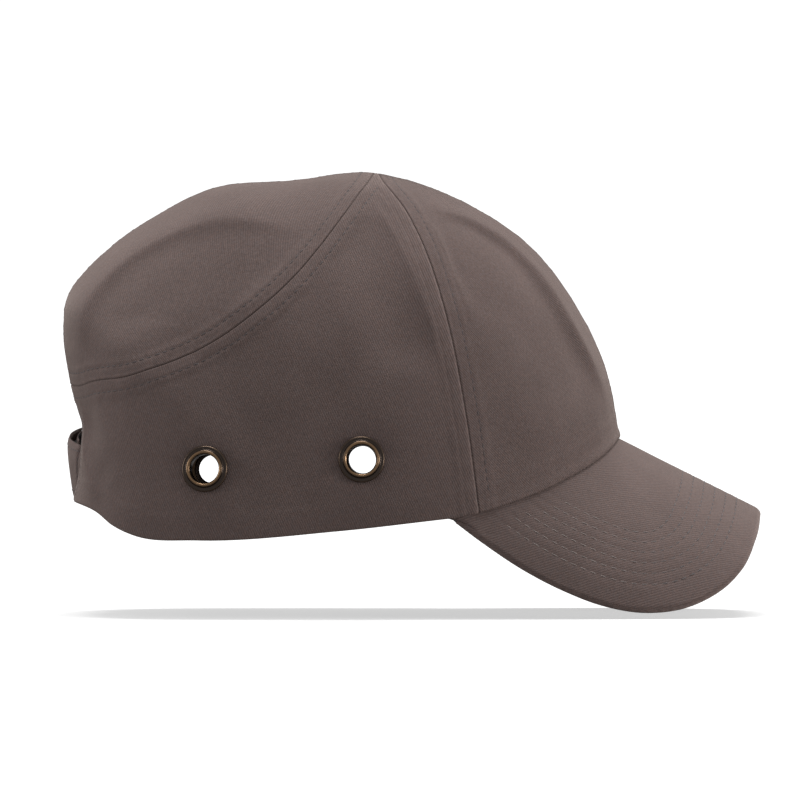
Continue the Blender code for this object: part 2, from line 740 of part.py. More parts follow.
def strap_grid(left_y, right_y, bottom_z, top_z, radius, columns=10, rows=3):
    """A strap's outer face. Each end is (y at the bottom, y at the top); each edge (z, z)."""
    u = np.linspace(0.0, 1.0, columns)[None]
    v = np.linspace(0.0, 1.0, rows)[:, None]
    first = left_y[0] + (left_y[1] - left_y[0]) * v
    last = right_y[0] + (right_y[1] - right_y[0]) * v
    y = first + (last - first) * u
    low = bottom_z[0] + (bottom_z[1] - bottom_z[0]) * u
    high = top_z[0] + (top_z[1] - top_z[0]) * u
    return strap_point(y, low + (high - low) * v, radius)


def make_closure():
    level = (STRAP_BOTTOM_Z, STRAP_BOTTOM_Z)
    top = (STRAP_TOP_Z, STRAP_TOP_Z)
    root = strap_grid(
        (ROOT_END_Y, ROOT_END_Y), (FOLD_BOTTOM_Y - GAP, FOLD_TOP_Y - GAP), level, top, STRAP_RADIUS
    )
    sheet("hook_strap_root", root, STRAP, TWILL, CAP)
    tail_end = (TAIL_END_BOTTOM_Y, TAIL_END_TOP_Y)
    tail = strap_grid((FOLD_BOTTOM_Y + GAP, FOLD_TOP_Y + GAP), tail_end, level, top, STRAP_RADIUS)
    sheet("hook_strap_tail", tail, STRAP, TWILL, STRAP_FOLD)

    inset = 0.003
    patch_level = (STRAP_BOTTOM_Z + inset, STRAP_BOTTOM_Z + inset)
    patch_top = (STRAP_TOP_Z - inset, STRAP_TOP_Z - inset)
    hook_radius = STRAP_RADIUS - STRAP - GAP
    hooks = strap_grid(
        (FOLD_BOTTOM_Y + inset, FOLD_TOP_Y + 2 * inset),
        (TAIL_END_BOTTOM_Y - inset, TAIL_END_TOP_Y - inset),
        patch_level, patch_top, hook_radius,
    )
    sheet("hook_patch", hooks, PATCH, HOOK_LOOP, STRAP_FOLD)

    loop_radius = hook_radius - PATCH - GAP
    loops = strap_grid(
        (LOOP_END_Y + inset, LOOP_END_Y + inset), (0.024, 0.030), patch_level, patch_top, loop_radius
    )
    sheet("loop_patch", loops, PATCH, HOOK_LOOP, CAP)
    rise = (STRAP_TOP_Z, STRAP_TOP_Z + LOOP_RISE)
    loop = strap_grid(
        (LOOP_END_Y, LOOP_END_Y), (LOOP_ROOT_Y, LOOP_ROOT_Y), level, rise,
        loop_radius - PATCH - GAP, columns=14,
    )
    sheet("loop_strap", loop, STRAP, TWILL, CAP)


# ---------------------------------------------------------------- assembly
clear_scene()
PARTS = new_collection("bump_cap")
CUTTERS = new_collection("cutters")

TWILL = new_material("twill", (0.117, 0.093, 0.085), 0.9)
TERRY = new_material("terry", (0.05, 0.046, 0.045), 0.95)
TAPE_BLACK = new_material("tape", (0.02, 0.02, 0.02), 0.8)
HOOK_LOOP = new_material("hook_and_loop", (0.015, 0.015, 0.016), 0.95)
BRASS = new_material("antique_brass", (0.30, 0.20, 0.11), 0.3, 1.0)
BOARD_WHITE = new_material("visor_board", (0.75, 0.75, 0.73), 0.5)
ABS = new_material("abs", (0.03, 0.03, 0.032), 0.45)
FOAM = new_material("foam", (0.045, 0.045, 0.048), 0.9)

CAP = new_empty("cap", (0.0, 0.0, 0.0))
LINER = new_empty("liner", (float(CORE[0]), 0.0, float(CORE[2])), CAP)
_fold = strap_point(np.array(FOLD_BOTTOM_Y), np.array(STRAP_BOTTOM_Z), STRAP_RADIUS)
STRAP_FOLD = new_empty("strap_peel_axis", tuple(map(float, _fold)), CAP)

make_front_panels()
make_side_panels()
make_crown_panels()
make_seam_tapes()
make_sweatband()
make_arch_binding()
make_eyelets()
make_visor()
make_impact_shell()
make_pads()
make_closure()
bpy.context.view_layer.update()
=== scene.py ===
"""Looks of the bump cap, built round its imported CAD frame.

Frame: metres, +X towards the visor, +Y to the wearer's left, +Z up.
"""

import math

import bmesh
import bpy
import numpy as np
from mathutils import Matrix, Vector, noise
from mathutils.kdtree import KDTree


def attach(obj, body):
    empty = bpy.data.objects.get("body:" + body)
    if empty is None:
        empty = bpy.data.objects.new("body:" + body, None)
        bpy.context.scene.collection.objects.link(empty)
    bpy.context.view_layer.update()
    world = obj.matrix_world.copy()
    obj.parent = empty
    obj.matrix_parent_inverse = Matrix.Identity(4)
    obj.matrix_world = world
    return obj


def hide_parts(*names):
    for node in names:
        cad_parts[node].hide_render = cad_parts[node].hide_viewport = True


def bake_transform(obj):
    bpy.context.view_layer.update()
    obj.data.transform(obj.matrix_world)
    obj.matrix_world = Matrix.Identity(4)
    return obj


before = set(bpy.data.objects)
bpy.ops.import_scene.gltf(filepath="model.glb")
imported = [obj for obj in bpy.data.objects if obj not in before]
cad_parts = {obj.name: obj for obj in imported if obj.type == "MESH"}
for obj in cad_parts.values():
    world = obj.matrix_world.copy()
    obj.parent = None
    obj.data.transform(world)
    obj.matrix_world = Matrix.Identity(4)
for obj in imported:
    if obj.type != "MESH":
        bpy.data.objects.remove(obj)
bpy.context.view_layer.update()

# ---------------------------------------------------------------- the CAD's driving dimensions
HALF_WIDTH = 0.0885
SQUARENESS = 2.4
SQUARENESS_REAR = 1.3
CORE = np.array([-0.027, 0.0, 0.024])
CROWN_PROFILE = [
    (0.0840, 0.024), (0.0822, 0.069), (0.0795, 0.088), (0.0680, 0.117), (0.0470, 0.1455),
    (0.0180, 0.1645), (-0.0150, 0.1748), (-0.0500, 0.1720), (-0.0790, 0.1692), (-0.1020, 0.1580),
    (-0.1270, 0.1395), (-0.1375, 0.1260), (-0.1388, 0.1080), (-0.1340, 0.0840), (-0.1322, 0.0760),
    (-0.1332, 0.0680), (-0.1372, 0.0450), (-0.1385, 0.0240),
]
SIDE_PROFILE = CROWN_PROFILE[:13] + [(-0.1376, 0.0750), (-0.1355, 0.0240)]
APEX = (-0.0145, 0.1748)
FRONT_SEAM = [
    APEX, (-0.0108, 0.1700), (-0.0010, 0.1566), (0.0110, 0.1258), (0.0186, 0.0926),
    (0.0238, 0.0586),
]
FRONT_SEAM_FOOT_X = 0.0258
CROWN_SEAM = [
    APEX, (-0.0190, 0.1690), (-0.0366, 0.1448), (-0.0622, 0.1187), (-0.0862, 0.1030),
    (-0.1103, 0.0941), (-0.1280, 0.0912), (-0.1362, 0.0908),
]
HEM = [(-0.0290, 0.0326), (-0.0850, 0.0290), (-0.1090, 0.0306), (-0.1190, 0.0350), (-0.1270, 0.0405)]
HEM_END_Z = 0.0446
ARCH_HALF_WIDTH, ARCH_HALF_HEIGHT, ARCH_CENTRE_Z = 0.037, 0.021, 0.062
CORNER = 0.010  # the soft corner between the arch and the hem starts this far from its point
FABRIC = 0.0008
GAP = 0.0003

VISOR_ROOT = np.array([0.0822, 0.0, 0.0694])
VISOR_SLOPE = math.radians(26.6)
VISOR_BEND = 0.0906
VISOR_WING_X = 0.0130
VISOR_OUTLINE = [
    (0.0000, 0.0645), (0.0146, 0.0646), (0.0445, 0.0663), (0.0667, 0.0662), (0.0813, 0.0626),
    (0.0982, 0.0519), (0.1078, 0.0386), (0.1130, 0.0232), (0.1149, 0.0063), (0.1146, -0.0116),
    (0.1120, -0.0307), (0.1096, -0.0435),
]
VISOR_THICKNESS = 0.0039
VISOR_RIM_FRONT, VISOR_RIM_WING = 0.0038, 0.0019  # how far in the rolled edge starts

SWEATBAND = 0.0016
SWEATBAND_DEPTH = FABRIC + 0.0007
SWEATBAND_TOP = [
    (0.0790, 0.0950), (0.0520, 0.0800), (0.0200, 0.0600), (-0.0060, 0.0488), (-0.0450, 0.0460),
    (-0.1000, 0.0455),
]
SWEATBAND_END_X = -0.1060
TAPE_WIDTH, TAPE, TAPE_DEPTH = 0.011, 0.0004, FABRIC + 0.0011

EYELETS = {"front": (-0.0201, 0.0608), "rear": (-0.0816, 0.0571)}
EYELET_BORE, EYELET_FLANGE, EYELET_HOLE, EYELET_PUNCH = 0.0057, 0.0091, 0.0070, 0.02

SHELL, SHELL_GAP_TOP, SHELL_GAP_SIDE = 0.0016, 0.0030, 0.0050
SHELL_EDGE_FRONT_Z, SHELL_EDGE_SIDE_Z, SHELL_EDGE_REAR_Z = 0.0990, 0.0735, 0.0960
SLOT_RADIUS, SLOT_PUNCH = 0.0030, 0.024
PAD, PAD_GAP = 0.0050, 0.0006
CAD_ROWS, CAD_COLUMNS = 12, 36  # of the grid that the pads are cut from

STRAP_AXIS_X, STRAP_RADIUS = -0.0550, 0.0820
STRAP, PATCH = 0.0010, 0.0007
STRAP_BOTTOM_Z, STRAP_TOP_Z = 0.0458, 0.0694
FOLD_TOP_Y, FOLD_BOTTOM_Y = -0.0270, -0.0145
TAIL_END_TOP_Y, TAIL_END_BOTTOM_Y = 0.0260, 0.0150
ROOT_END_Y = -0.0395
LOOP_ROOT_Y, LOOP_END_Y = 0.0385, -0.0120
ROOT_SEAM_Y = (-0.0190, -0.0300)  # the stitching of the strap's root, at its bottom and top
STRAP_LEAN = 0.0019
STRAP_RISE_BOTTOM, STRAP_RISE_TOP = 0.03, 0.13
STRAP_SLACK = 0.0006  # how far the closure stands off the CAD's arc and above its top edge
BEND_HALF_WIDTH = 0.0035  # of the stretch that bends when the strap is peeled back

SIDES = (("right", 1), ("left", -1))

# ---------------------------------------------------------------- sewing
ROW_OFFSET, ARCH_ROW_OFFSET = 0.0050, 0.0042  # topstitching, from the seam or edge it follows
ROW_CLEAR_OF_SEAMS, ROW_CLEAR_OF_EDGES = 0.0042, 0.0012
STITCH_PITCH, STITCH_LENGTH = 0.0033, 0.0025
THREAD = 0.00013  # radius
FAR_FROM_SEAMS = 0.02  # stands for no seam near in the "edge" attribute
VISOR_ROWS = 6
VISOR_ROW_FIRST, VISOR_ROW_SPACING = 0.0114, 0.0048  # from the visor's edge
VISOR_STITCH_PITCH, VISOR_STITCH_LENGTH = 0.0042, 0.0029

# Creases where the shell's shoulders push the fabric out, seen from the side (x, z).
FRONT_CREASE = [
    (0.0040, 0.1626), (0.0210, 0.1546), (0.0370, 0.1466), (0.0530, 0.1306), (0.0630, 0.1106),
    (0.0725, 0.0946), (0.0780, 0.0826),
]
REAR_CREASE = [
    (-0.0370, 0.1526), (-0.0530, 0.1506), (-0.0690, 0.1536), (-0.0850, 0.1536), (-0.1010, 0.1480),
    (-0.1150, 0.1376), (-0.1250, 0.1256), (-0.1300, 0.1106), (-0.1310, 0.0986),
]
PLEAT_CREASE = [(0.0065, 0.1560), (0.0130, 0.1420), (0.0190, 0.1270), (0.0240, 0.1120)]
SHOULDER_CREASE = [
    (-0.0175, 0.1640), (-0.0110, 0.1560), (-0.0040, 0.1420), (0.0024, 0.1270), (0.0076, 0.1100),
    (0.0110, 0.0940),
]
FOLD_CREASE = [(-0.1300, 0.0850), (-0.1297, 0.0700), (-0.1280, 0.0560), (-0.1255, 0.0440)]

# ---------------------------------------------------------------- stage
FLOOR_Z, FLOOR_TILT = -0.0008, math.radians(0.8)  # tilted to show a little of the shadow
WORLD_LIGHT, WORLD_SEEN = 0.355, 1.1
SUN_STRENGTH, SUN_SPREAD, SUN_LEAN = 2.45, math.radians(32), math.radians(-11)
CAMERA_X, CAMERA_Z, CAMERA_DISTANCE, AIM_Z = -0.0050, 0.0600, 4.6, 0.0846
PICTURE_WIDTH = 0.320  # at the cap's middle


# ---------------------------------------------------------------- vectors and curves
MIRROR = np.array([1.0, -1.0, 1.0])


def norm(vectors):
    return np.linalg.norm(vectors, axis=-1)


def unit(vectors):
    return vectors / (np.linalg.norm(vectors, axis=-1, keepdims=True) + 1e-12)


def xyz(x, y, z):
    return np.stack(np.broadcast_arrays(x, y, z), axis=-1).astype(float)


def off(points, normals, height):
    """Points moved along their normals."""
    return points + normals * height[..., None]


def smoothstep(low, high, value):
    t = np.clip((np.asarray(value) - low) / (high - low), 0.0, 1.0)
    return t * t * (3 - 2 * t)


def hill(value, centre, width):
    """A smooth rise to 1 at a centre."""
    return np.exp(-(((value - centre) / width) ** 2))


def both_sides(line):
    """A right-hand line that starts in the middle, led up to by its mirror image."""
    return np.concatenate([line[::-1] * MIRROR, line[1:]])


def run_length(line):
    return np.concatenate([[0.0], np.cumsum(norm(np.diff(line, axis=0)))])


def interpolate(at, knots, values):
    return np.stack([np.interp(at, knots, column) for column in values.T], axis=-1)


def at_shares(line, shares):
    """Points at shares of a line's length."""
    run = run_length(line)
    return interpolate(shares * run[-1], run, line)


def resample(line, count):
    return at_shares(line, np.linspace(0.0, 1.0, count))


def smooth_curve(points, count):
    """Evenly spaced points of a Hermite curve through a few points."""
    points = np.asarray(points, float)
    knots = run_length(points)
    slopes = np.gradient(points, knots, axis=0)
    fine = np.linspace(0.0, knots[-1], 50 * len(points))
    span = np.clip(np.searchsorted(knots, fine, side="right") - 1, 0, len(knots) - 2)
    size = np.diff(knots)[span][:, None]
    t = (fine - knots[span])[:, None] / size
    curve = (2 * t**3 - 3 * t**2 + 1) * points[span] + (t**3 - 2 * t**2 + t) * size * slopes[span]
    curve += (3 * t**2 - 2 * t**3) * points[span + 1] + (t**3 - t**2) * size * slopes[span + 1]
    return resample(curve, count)


# ---------------------------------------------------------------- the crown's surface
def polar(profile):
    line = smooth_curve(profile, 900) - CORE[[0, 2]]
    line[:, 1] = np.maximum(line[:, 1], 1e-6)
    return np.arctan2(line[:, 1], line[:, 0]), norm(line)


MIDDLE, SIDE = polar(CROWN_PROFILE), polar(SIDE_PROFILE)


def crown_share(points):
    """How far points are from the crown's core, as a share of the way to its surface."""
    rel = np.asarray(points, float) - CORE
    angle = np.arctan2(rel[..., 2], rel[..., 0])
    level = np.hypot(rel[..., 0], rel[..., 2])
    sideways = np.clip(np.abs(rel[..., 1]) / np.hypot(level, rel[..., 1]) / 0.3 - 1.0, 0.0, 1.0)
    blend = smoothstep(0.0, 1.0, sideways)
    reach = np.interp(angle, *MIDDLE) * (1 - blend) + np.interp(angle, *SIDE) * blend
    low = np.clip(1.0 - np.sin(angle) / 0.8, 0.0, 1.0)
    power = SQUARENESS + SQUARENESS_REAR * low * np.clip(-np.cos(angle), 0.0, 1.0)
    across = np.abs(rel[..., 1]) / HALF_WIDTH
    return ((level / reach) ** power + across**power) ** (1 / power)


def on_crown(points):
    return CORE + (np.asarray(points, float) - CORE) / crown_share(points)[..., None]


def outward(points):
    steps = 0.0006 * np.eye(3)
    slope = [crown_share(points + step) - crown_share(points - step) for step in steps]
    return unit(np.stack(slope, axis=-1))


def meet_crown(starts, direction, reach):
    """Where lines from inside the crown come out of it."""
    starts = np.asarray(starts, float)
    low, high = np.zeros(len(starts)), np.full(len(starts), reach)
    for _ in range(40):
        middle = (low + high) / 2
        inside = crown_share(starts + middle[:, None] * direction) < 1.0
        low, high = np.where(inside, middle, low), np.where(inside, high, middle)
    return starts + low[:, None] * direction


def right_side(side_view):
    """(x, z) points as seen from the side, on the right half of the crown."""
    x, z = np.asarray(side_view, float).T
    return meet_crown(xyz(x, 0.0, z), -np.eye(3)[1], 0.12)


def seam_line(side_view):
    top = xyz([APEX[0]], 0.0, APEX[1])
    return on_crown(smooth_curve(np.concatenate([top, right_side(side_view[1:])]), 300))


def centre_line(start, end, count):
    """The crown's line of symmetry between two (x, z) points."""
    first, last = (math.atan2(z - CORE[2], x - CORE[0]) for x, z in (start, end))
    angle = np.linspace(first, last, 400)
    reach = np.interp(angle, *MIDDLE)
    return resample(xyz(reach * np.cos(angle), 0.0, reach * np.sin(angle)) + CORE, count)


# ---------------------------------------------------------------- the visor's surface
FORWARD = np.array([math.cos(VISOR_SLOPE), 0.0, -math.sin(VISOR_SLOPE)])
UPWARD = np.array([math.sin(VISOR_SLOPE), 0.0, math.cos(VISOR_SLOPE)])
SIDEWAYS = np.array([0.0, -1.0, 0.0])


def visor_point(round_bend, forward, depth):
    angle = np.asarray(round_bend) / VISOR_BEND
    radius = VISOR_BEND - np.asarray(depth)
    sideways = (radius * np.sin(angle))[..., None] * SIDEWAYS
    drop = (VISOR_BEND - radius * np.cos(angle))[..., None] * UPWARD
    return VISOR_ROOT + np.asarray(forward)[..., None] * FORWARD + sideways - drop


def visor_normal(round_bend):
    angle = np.asarray(round_bend)[..., None] / VISOR_BEND
    return np.sin(angle) * SIDEWAYS + np.cos(angle) * UPWARD


def visor_root_line(count=260):
    """Where the visor meets the crown: (distance round the bend, distance forward, points)."""
    round_bend = np.linspace(0.0, VISOR_BEND * math.radians(80.0), count)
    starts = visor_point(round_bend, np.full(count, -0.085), np.zeros(count))
    ends = meet_crown(starts, FORWARD, 0.10)
    kept = ends[:, 0] >= VISOR_WING_X
    return round_bend[kept], ((ends - VISOR_ROOT) @ FORWARD)[kept], ends[kept]


ROOT_ROUND, ROOT_FORWARD, ROOT_POINTS = visor_root_line()


# ---------------------------------------------------------------- seams and the panels between them
def round_corner(first, second, size):
    """Two lines that end in one corner, cut back to meet half way round a soft bend."""
    corner = first[-1]
    near = [norm(line - corner) < size for line in (first, second)]
    starts = [line[~close][-1] for line, close in zip((first, second), near)]
    t = np.linspace(0.0, 1.0, 41)[:, None]
    bend = on_crown((1 - t) ** 2 * starts[0] + 2 * t * (1 - t) * corner + t**2 * starts[1])
    return (
        np.concatenate([first[~near[0]][:-1], bend[:21]]),
        np.concatenate([second[~near[1]][:-1], bend[:19:-1]]),
    )


def seam_lines():
    """The right half's seams and edges, by name."""
    before_foot = ROOT_POINTS[ROOT_POINTS[:, 0] >= FRONT_SEAM_FOOT_X]
    after_foot = ROOT_POINTS[ROOT_POINTS[:, 0] < FRONT_SEAM_FOOT_X]
    foot, wing = before_foot[-1], after_foot[-1]
    sweep = np.linspace(0.0, math.radians(165.0), 200)
    high = ARCH_CENTRE_Z + ARCH_HALF_HEIGHT * np.cos(sweep)
    arch = xyz(CORE[0], -ARCH_HALF_WIDTH * np.sin(sweep), high)
    arch = meet_crown(arch[arch[:, 2] >= HEM_END_Z], -np.eye(3)[0], 0.14)
    back_seam = centre_line(CROWN_SEAM[-1], arch[0, [0, 2]], 30)
    hem = right_side(smooth_curve([wing[[0, 2]], *HEM, arch[-1, [0, 2]]], 300))
    hem[-1] = arch[-1]
    arch, hem = round_corner(arch, hem, CORNER)
    return {
        "centre_front": centre_line(APEX, ROOT_POINTS[0, [0, 2]], 300),
        "centre_back": centre_line(APEX, CROWN_SEAM[-1], 300),
        "back_seam": back_seam,
        "front_seam": seam_line(FRONT_SEAM + [tuple(foot[[0, 2]])]),
        "crown_seam": seam_line(CROWN_SEAM),
        "front_foot": before_foot[::-1],
        "side_foot": np.concatenate([[foot], after_foot]),
        "hem": hem,
        "arch": arch,
        "back_edge": np.concatenate([back_seam[:-1], arch]),
        "lower_edge": np.concatenate([[foot], after_foot, hem[1:]]),
    }


LINES = seam_lines()


def spread(count, crowding=0.72):
    """Shares from 0 to 1 that crowd together towards both ends, where the seams are."""
    t = np.linspace(0.0, 1.0, count)
    return t - crowding * np.sin(2 * math.pi * t) / (2 * math.pi)


def patch(top, bottom, left, right, u, v):
    """A sheet on the crown between four lines, at shares u across it and v down it."""
    top, bottom = (at_shares(line, u) for line in (top, bottom))
    left, right = (at_shares(line, v)[:, None] for line in (left, right))
    u, v = u[None, :, None], v[:, None, None]
    corners = (1 - v) * ((1 - u) * top[0] + u * top[-1]) + v * ((1 - u) * bottom[0] + u * bottom[-1])
    return on_crown((1 - v) * top + v * bottom + (1 - u) * left + u * right - corners)


def panel_grid(kind):
    if kind == "side":
        lines = (LINES[name] for name in ("crown_seam", "lower_edge", "front_seam", "back_edge"))
        return patch(*lines, spread(190), spread(150))
    middle = LINES["centre_front" if kind == "front" else "centre_back"]
    apex, nape = middle[[0, 0]], middle[[-1, -1]]
    if kind == "front":
        return patch(apex, LINES["front_foot"], LINES["front_seam"], middle, spread(96), spread(150))
    return patch(apex, nape, LINES["crown_seam"], middle, spread(110), spread(150))


def eyelet_spot(place, side):
    spot = right_side([EYELETS[place]])
    sign = 1 if side == "right" else MIRROR
    return spot[0] * sign, outward(spot)[0] * sign


EYELET_SPOTS = {
    (place, side): eyelet_spot(place, side) for place in EYELETS for side in ("right", "left")
}


# ---------------------------------------------------------------- relief of the sewn fabric
class Guide:
    """A line on the crown that the fabric's relief is measured from."""

    def __init__(self, points, mirrored=False, count=900):
        self.points = resample(points, count) * (MIRROR if mirrored else 1)
        self.tangent = unit(np.gradient(self.points, axis=0))
        self.tree = KDTree(count)
        for index, point in enumerate(self.points):
            self.tree.insert(point, index)
        self.tree.balance()

    def nearest(self, points):
        """(distance to the line, number of its nearest point) of each point."""
        found = [self.tree.find(point) for point in np.reshape(points, (-1, 3))]
        shape = np.shape(points)[:-1]
        return tuple(np.array([item[k] for item in found]).reshape(shape) for k in (2, 1))

    def signed(self, points):
        """Distance, negative on the side towards the middle of the crown, and the share along."""
        distance, index = self.nearest(points)
        away = np.cross(self.tangent, outward(self.points))
        away *= np.sign(away[:, 1:2] * self.points[:, 1:2])
        side = np.sign(((points - self.points[index]) * away[index]).sum(axis=-1))
        return distance * side, index / (len(self.points) - 1)


def gap_to(guides, points):
    return np.min([guide.nearest(points)[0] for guide in guides], axis=0)


def perlin(points, size, offset):
    flat = np.reshape(points, (-1, 3)) / size + offset
    return np.array([noise.noise(Vector(point)) for point in flat]).reshape(np.shape(points)[:-1])


BACK_LINE = np.concatenate([LINES["centre_back"], LINES["back_seam"][1:]])
SEAMS = [Guide(LINES["centre_front"]), Guide(BACK_LINE)]
SEAMS += [Guide(LINES[f"{name}_seam"], side) for name in ("front", "crown") for side in (False, True)]
EDGES = [
    Guide(LINES[name], mirrored)
    for name in ("front_foot", "side_foot", "hem", "arch")
    for mirrored in (False, True)
]
FOOT = EDGES[:2]


def lifted(side_view, count=240):
    """A crease given as seen from the side, laid on the crown and eased into one clean sweep."""
    line = right_side(smooth_curve(side_view, count))
    t = np.linspace(-1.0, 1.0, count)
    power = min(3, len(side_view) - 2)
    return on_crown(np.stack([np.polyval(np.polyfit(t, xs, power), t) for xs in line.T], axis=1))


# guide, height on the crease, reach above it, drop below it, the drop's run-in and its end
CREASES = [
    (Guide(lifted(line), mirrored), *shape)
    for line, *shape in (
        (FRONT_CREASE, 0.0014, 0.0085, 0.0030, 0.0048, 0.050),
        (REAR_CREASE, 0.0010, 0.011, 0.0024, 0.0065, 0.050),
        (SHOULDER_CREASE, 0.0003, 0.004, 0.0022, 0.006, 0.034),
        (FOLD_CREASE, 0.0009, 0.006, 0.0016, 0.005, 0.022),
        (PLEAT_CREASE, 0.0005, 0.004, 0.0004, 0.008, 0.012),
    )
    for mirrored in (False, True)
]


def shell_depth(points):
    """How deep the shell lies under the crown's surface."""
    up = np.clip(outward(points)[..., 2], 0.0, 1.0) ** 2
    return SHELL_GAP_SIDE + (SHELL_GAP_TOP - SHELL_GAP_SIDE) * up


def broad_relief(points):
    """Folds wide enough to show on both faces of the cloth."""
    height = 0.00060 * perlin(points, 0.050, 3.1) + 0.00026 * perlin(points, 0.021, 9.7)
    stretched = points * (1.0, 1.0, 3.0)
    height += 0.00020 * perlin(stretched, 0.060, 21.3) * smoothstep(0.085, 0.05, points[..., 2])
    free = smoothstep(0.0035, 0.012, gap_to(SEAMS, points))
    for guide, crest, reach, drop, run_in, end in CREASES:
        signed, share = guide.signed(points)
        ends = smoothstep(0.0, 0.22, share) * smoothstep(1.0, 0.78, share)
        below = crest - (crest + drop) * (1 - np.exp(-np.maximum(signed, 0.0) / run_in))
        below *= smoothstep(end, 0.3 * end, signed)
        height += np.where(signed < 0, crest * hill(signed, 0.0, reach), below * free) * ends
    # The ends of the arch are drawn in by the straps sewn to them.
    drawn = smoothstep(0.066, 0.046, points[..., 2]) * smoothstep(-0.112, -0.131, points[..., 0])
    height -= 0.0019 * drawn
    for spot, _ in EYELET_SPOTS.values():
        height -= 0.00045 * hill(np.maximum(norm(points - spot) - 0.0085, 0), 0.0, 0.0045)
    # The cloth and its tapes stop short of the shell under them.
    lowest = TAPE_DEPTH + TAPE + 0.0004 - shell_depth(points)
    soft = 0.0003
    return lowest + soft * np.logaddexp(0.0, (height - lowest) / soft)


def seam_relief(points):
    """(height, distance to the nearest seam or edge) of the sewing on the outer face."""
    seam, edge, foot = (gap_to(guides, points) for guides in (SEAMS, EDGES, FOOT))
    wobble = 1 + 0.35 * perlin(points, 0.011, 5.5)
    height = 0.00036 * smoothstep(0.0092, 0.0050, seam) * wobble
    height -= 0.00016 * hill(seam, ROW_OFFSET, 0.00070)
    height -= 0.00042 * hill(seam, 0.0, 0.00030)
    height += 0.00024 * hill(seam, ROW_OFFSET, 0.0035) * perlin(points, 0.0052, 31.0)
    height -= 0.00028 * hill(edge, 0.0, 0.00040)
    height += 0.00018 * smoothstep(0.0120, 0.0090, edge)
    # The front panels' lower edge is folded under and stands over the visor's root.
    height += 0.00060 * hill(foot, 0.0016, 0.0022)
    for spot, _ in EYELET_SPOTS.values():
        rel = points - spot
        turn = np.arctan2(rel[..., 2], rel[..., 0])
        ripple = np.sin(turn * 9 + 3 * np.sin(turn * 2 + spot[0] * 90))
        height += 0.00010 * ripple * hill(norm(rel), 0.0115, 0.0025)
    return height, np.minimum(seam, foot)


# ---------------------------------------------------------------- mesh helpers
def link(obj):
    bpy.context.scene.collection.objects.link(obj)
    return obj


def quads(index, wrap=False):
    """Faces between the rows of a grid of vertex numbers, with each row closed on itself or not."""
    if wrap:
        index = np.concatenate([index, index[:, :1]], axis=1)
    a, b = index[:-1], index[1:]
    return np.stack([a[:, :-1], a[:, 1:], b[:, 1:], b[:, :-1]], axis=-1).reshape(-1, 4)


def build(name, points, faces, material, turn_out=True):
    """A smooth-shaded object, its faces turned outwards unless they are so already."""
    mesh = bpy.data.meshes.new(name)
    mesh.from_pydata(np.asarray(points).tolist(), [], faces)
    if turn_out:
        bm = bmesh.new()
        bm.from_mesh(mesh)
        bmesh.ops.recalc_face_normals(bm, faces=bm.faces)
        bm.to_mesh(mesh)
        bm.free()
    mesh.polygons.foreach_set("use_smooth", np.ones(len(mesh.polygons), bool))
    mesh.materials.append(material)
    return link(bpy.data.objects.new(name, mesh))


def set_attribute(mesh, name, values):
    attribute = mesh.attributes.new(name, "FLOAT", "POINT")
    attribute.data.foreach_set("value", np.asarray(values, np.float32))


def tube(spine, sideways, up, radius, ring):
    """Rings of points round a line."""
    angle = (2 * math.pi * np.arange(ring) / ring)[:, None]
    offset = sideways[:, None] * np.cos(angle) + up[:, None] * np.sin(angle)
    return spine[:, None] + offset * np.asarray(radius)[:, None, None]


def tube_faces(steps, ring, start=0):
    index = start + np.arange(steps * ring).reshape(steps, ring)
    return [*quads(index, wrap=True).tolist(), index[0, ::-1].tolist(), index[-1].tolist()]


def metric_uv(grid):
    """Arc lengths along the rows and columns of a grid, from its middle, in metres."""
    rows, columns = grid.shape[:2]
    u = np.cumsum(norm(np.diff(grid, axis=1, prepend=grid[:, :1])), axis=1)
    v = np.cumsum(norm(np.diff(grid, axis=0, prepend=grid[:1])), axis=0)
    return np.stack([u - u[:, columns // 2][:, None], v - v[-1][None]], axis=2)


def closed_sheet(name, outer, inner, material, uv=None, values=None, lining=None, wrap=False):
    """A closed thin body between two grids of points, with metric UVs and the cloth's attributes."""
    rows, columns = outer.shape[:2]
    total = rows * columns
    index = np.arange(total).reshape(rows, columns)
    face = quads(index, wrap)
    first, last = (quads(np.stack([line, line + total]), wrap) for line in (index[0], index[-1]))
    faces = [face, face[:, ::-1] + total, first[:, ::-1], last]
    if not wrap:
        left, right = (quads(np.stack([line, line + total])) for line in index.T[[0, -1]])
        faces += [left, right[:, ::-1]]
    faces = np.concatenate(faces)
    r, c = rows // 2, columns // 2
    middle = outer[r, c]
    facing = np.cross(outer[r, c + 1] - middle, outer[r + 1, c] - middle) @ (middle - inner[r, c])
    if facing < 0:
        faces = faces[:, ::-1]
    points = np.concatenate([outer.reshape(-1, 3), inner.reshape(-1, 3)])
    sheet = build(name, points, faces.tolist(), material, turn_out=False)
    mesh = sheet.data
    mesh.validate()
    flat = np.tile((metric_uv(outer) if uv is None else uv).reshape(-1, 2), (2, 1))
    layer = mesh.uv_layers.new(name="UVMap")
    corner = np.empty(len(mesh.loops), np.int32)
    mesh.loops.foreach_get("vertex_index", corner)
    layer.data.foreach_set("uv", flat[corner].astype(np.float32).ravel())
    for key, rest in (("edge", FAR_FROM_SEAMS), ("lip", 0.0)):
        outside = np.broadcast_to((values or {}).get(key, rest), (rows, columns)).ravel()
        set_attribute(mesh, key, np.concatenate([outside, np.full(total, rest)]))
    if lining is not None:
        mesh.materials.append(lining)
        slots = np.zeros(len(mesh.polygons), np.int32)
        slots[len(face) : 2 * len(face)] = 1
        mesh.polygons.foreach_set("material_index", slots)
    return sheet


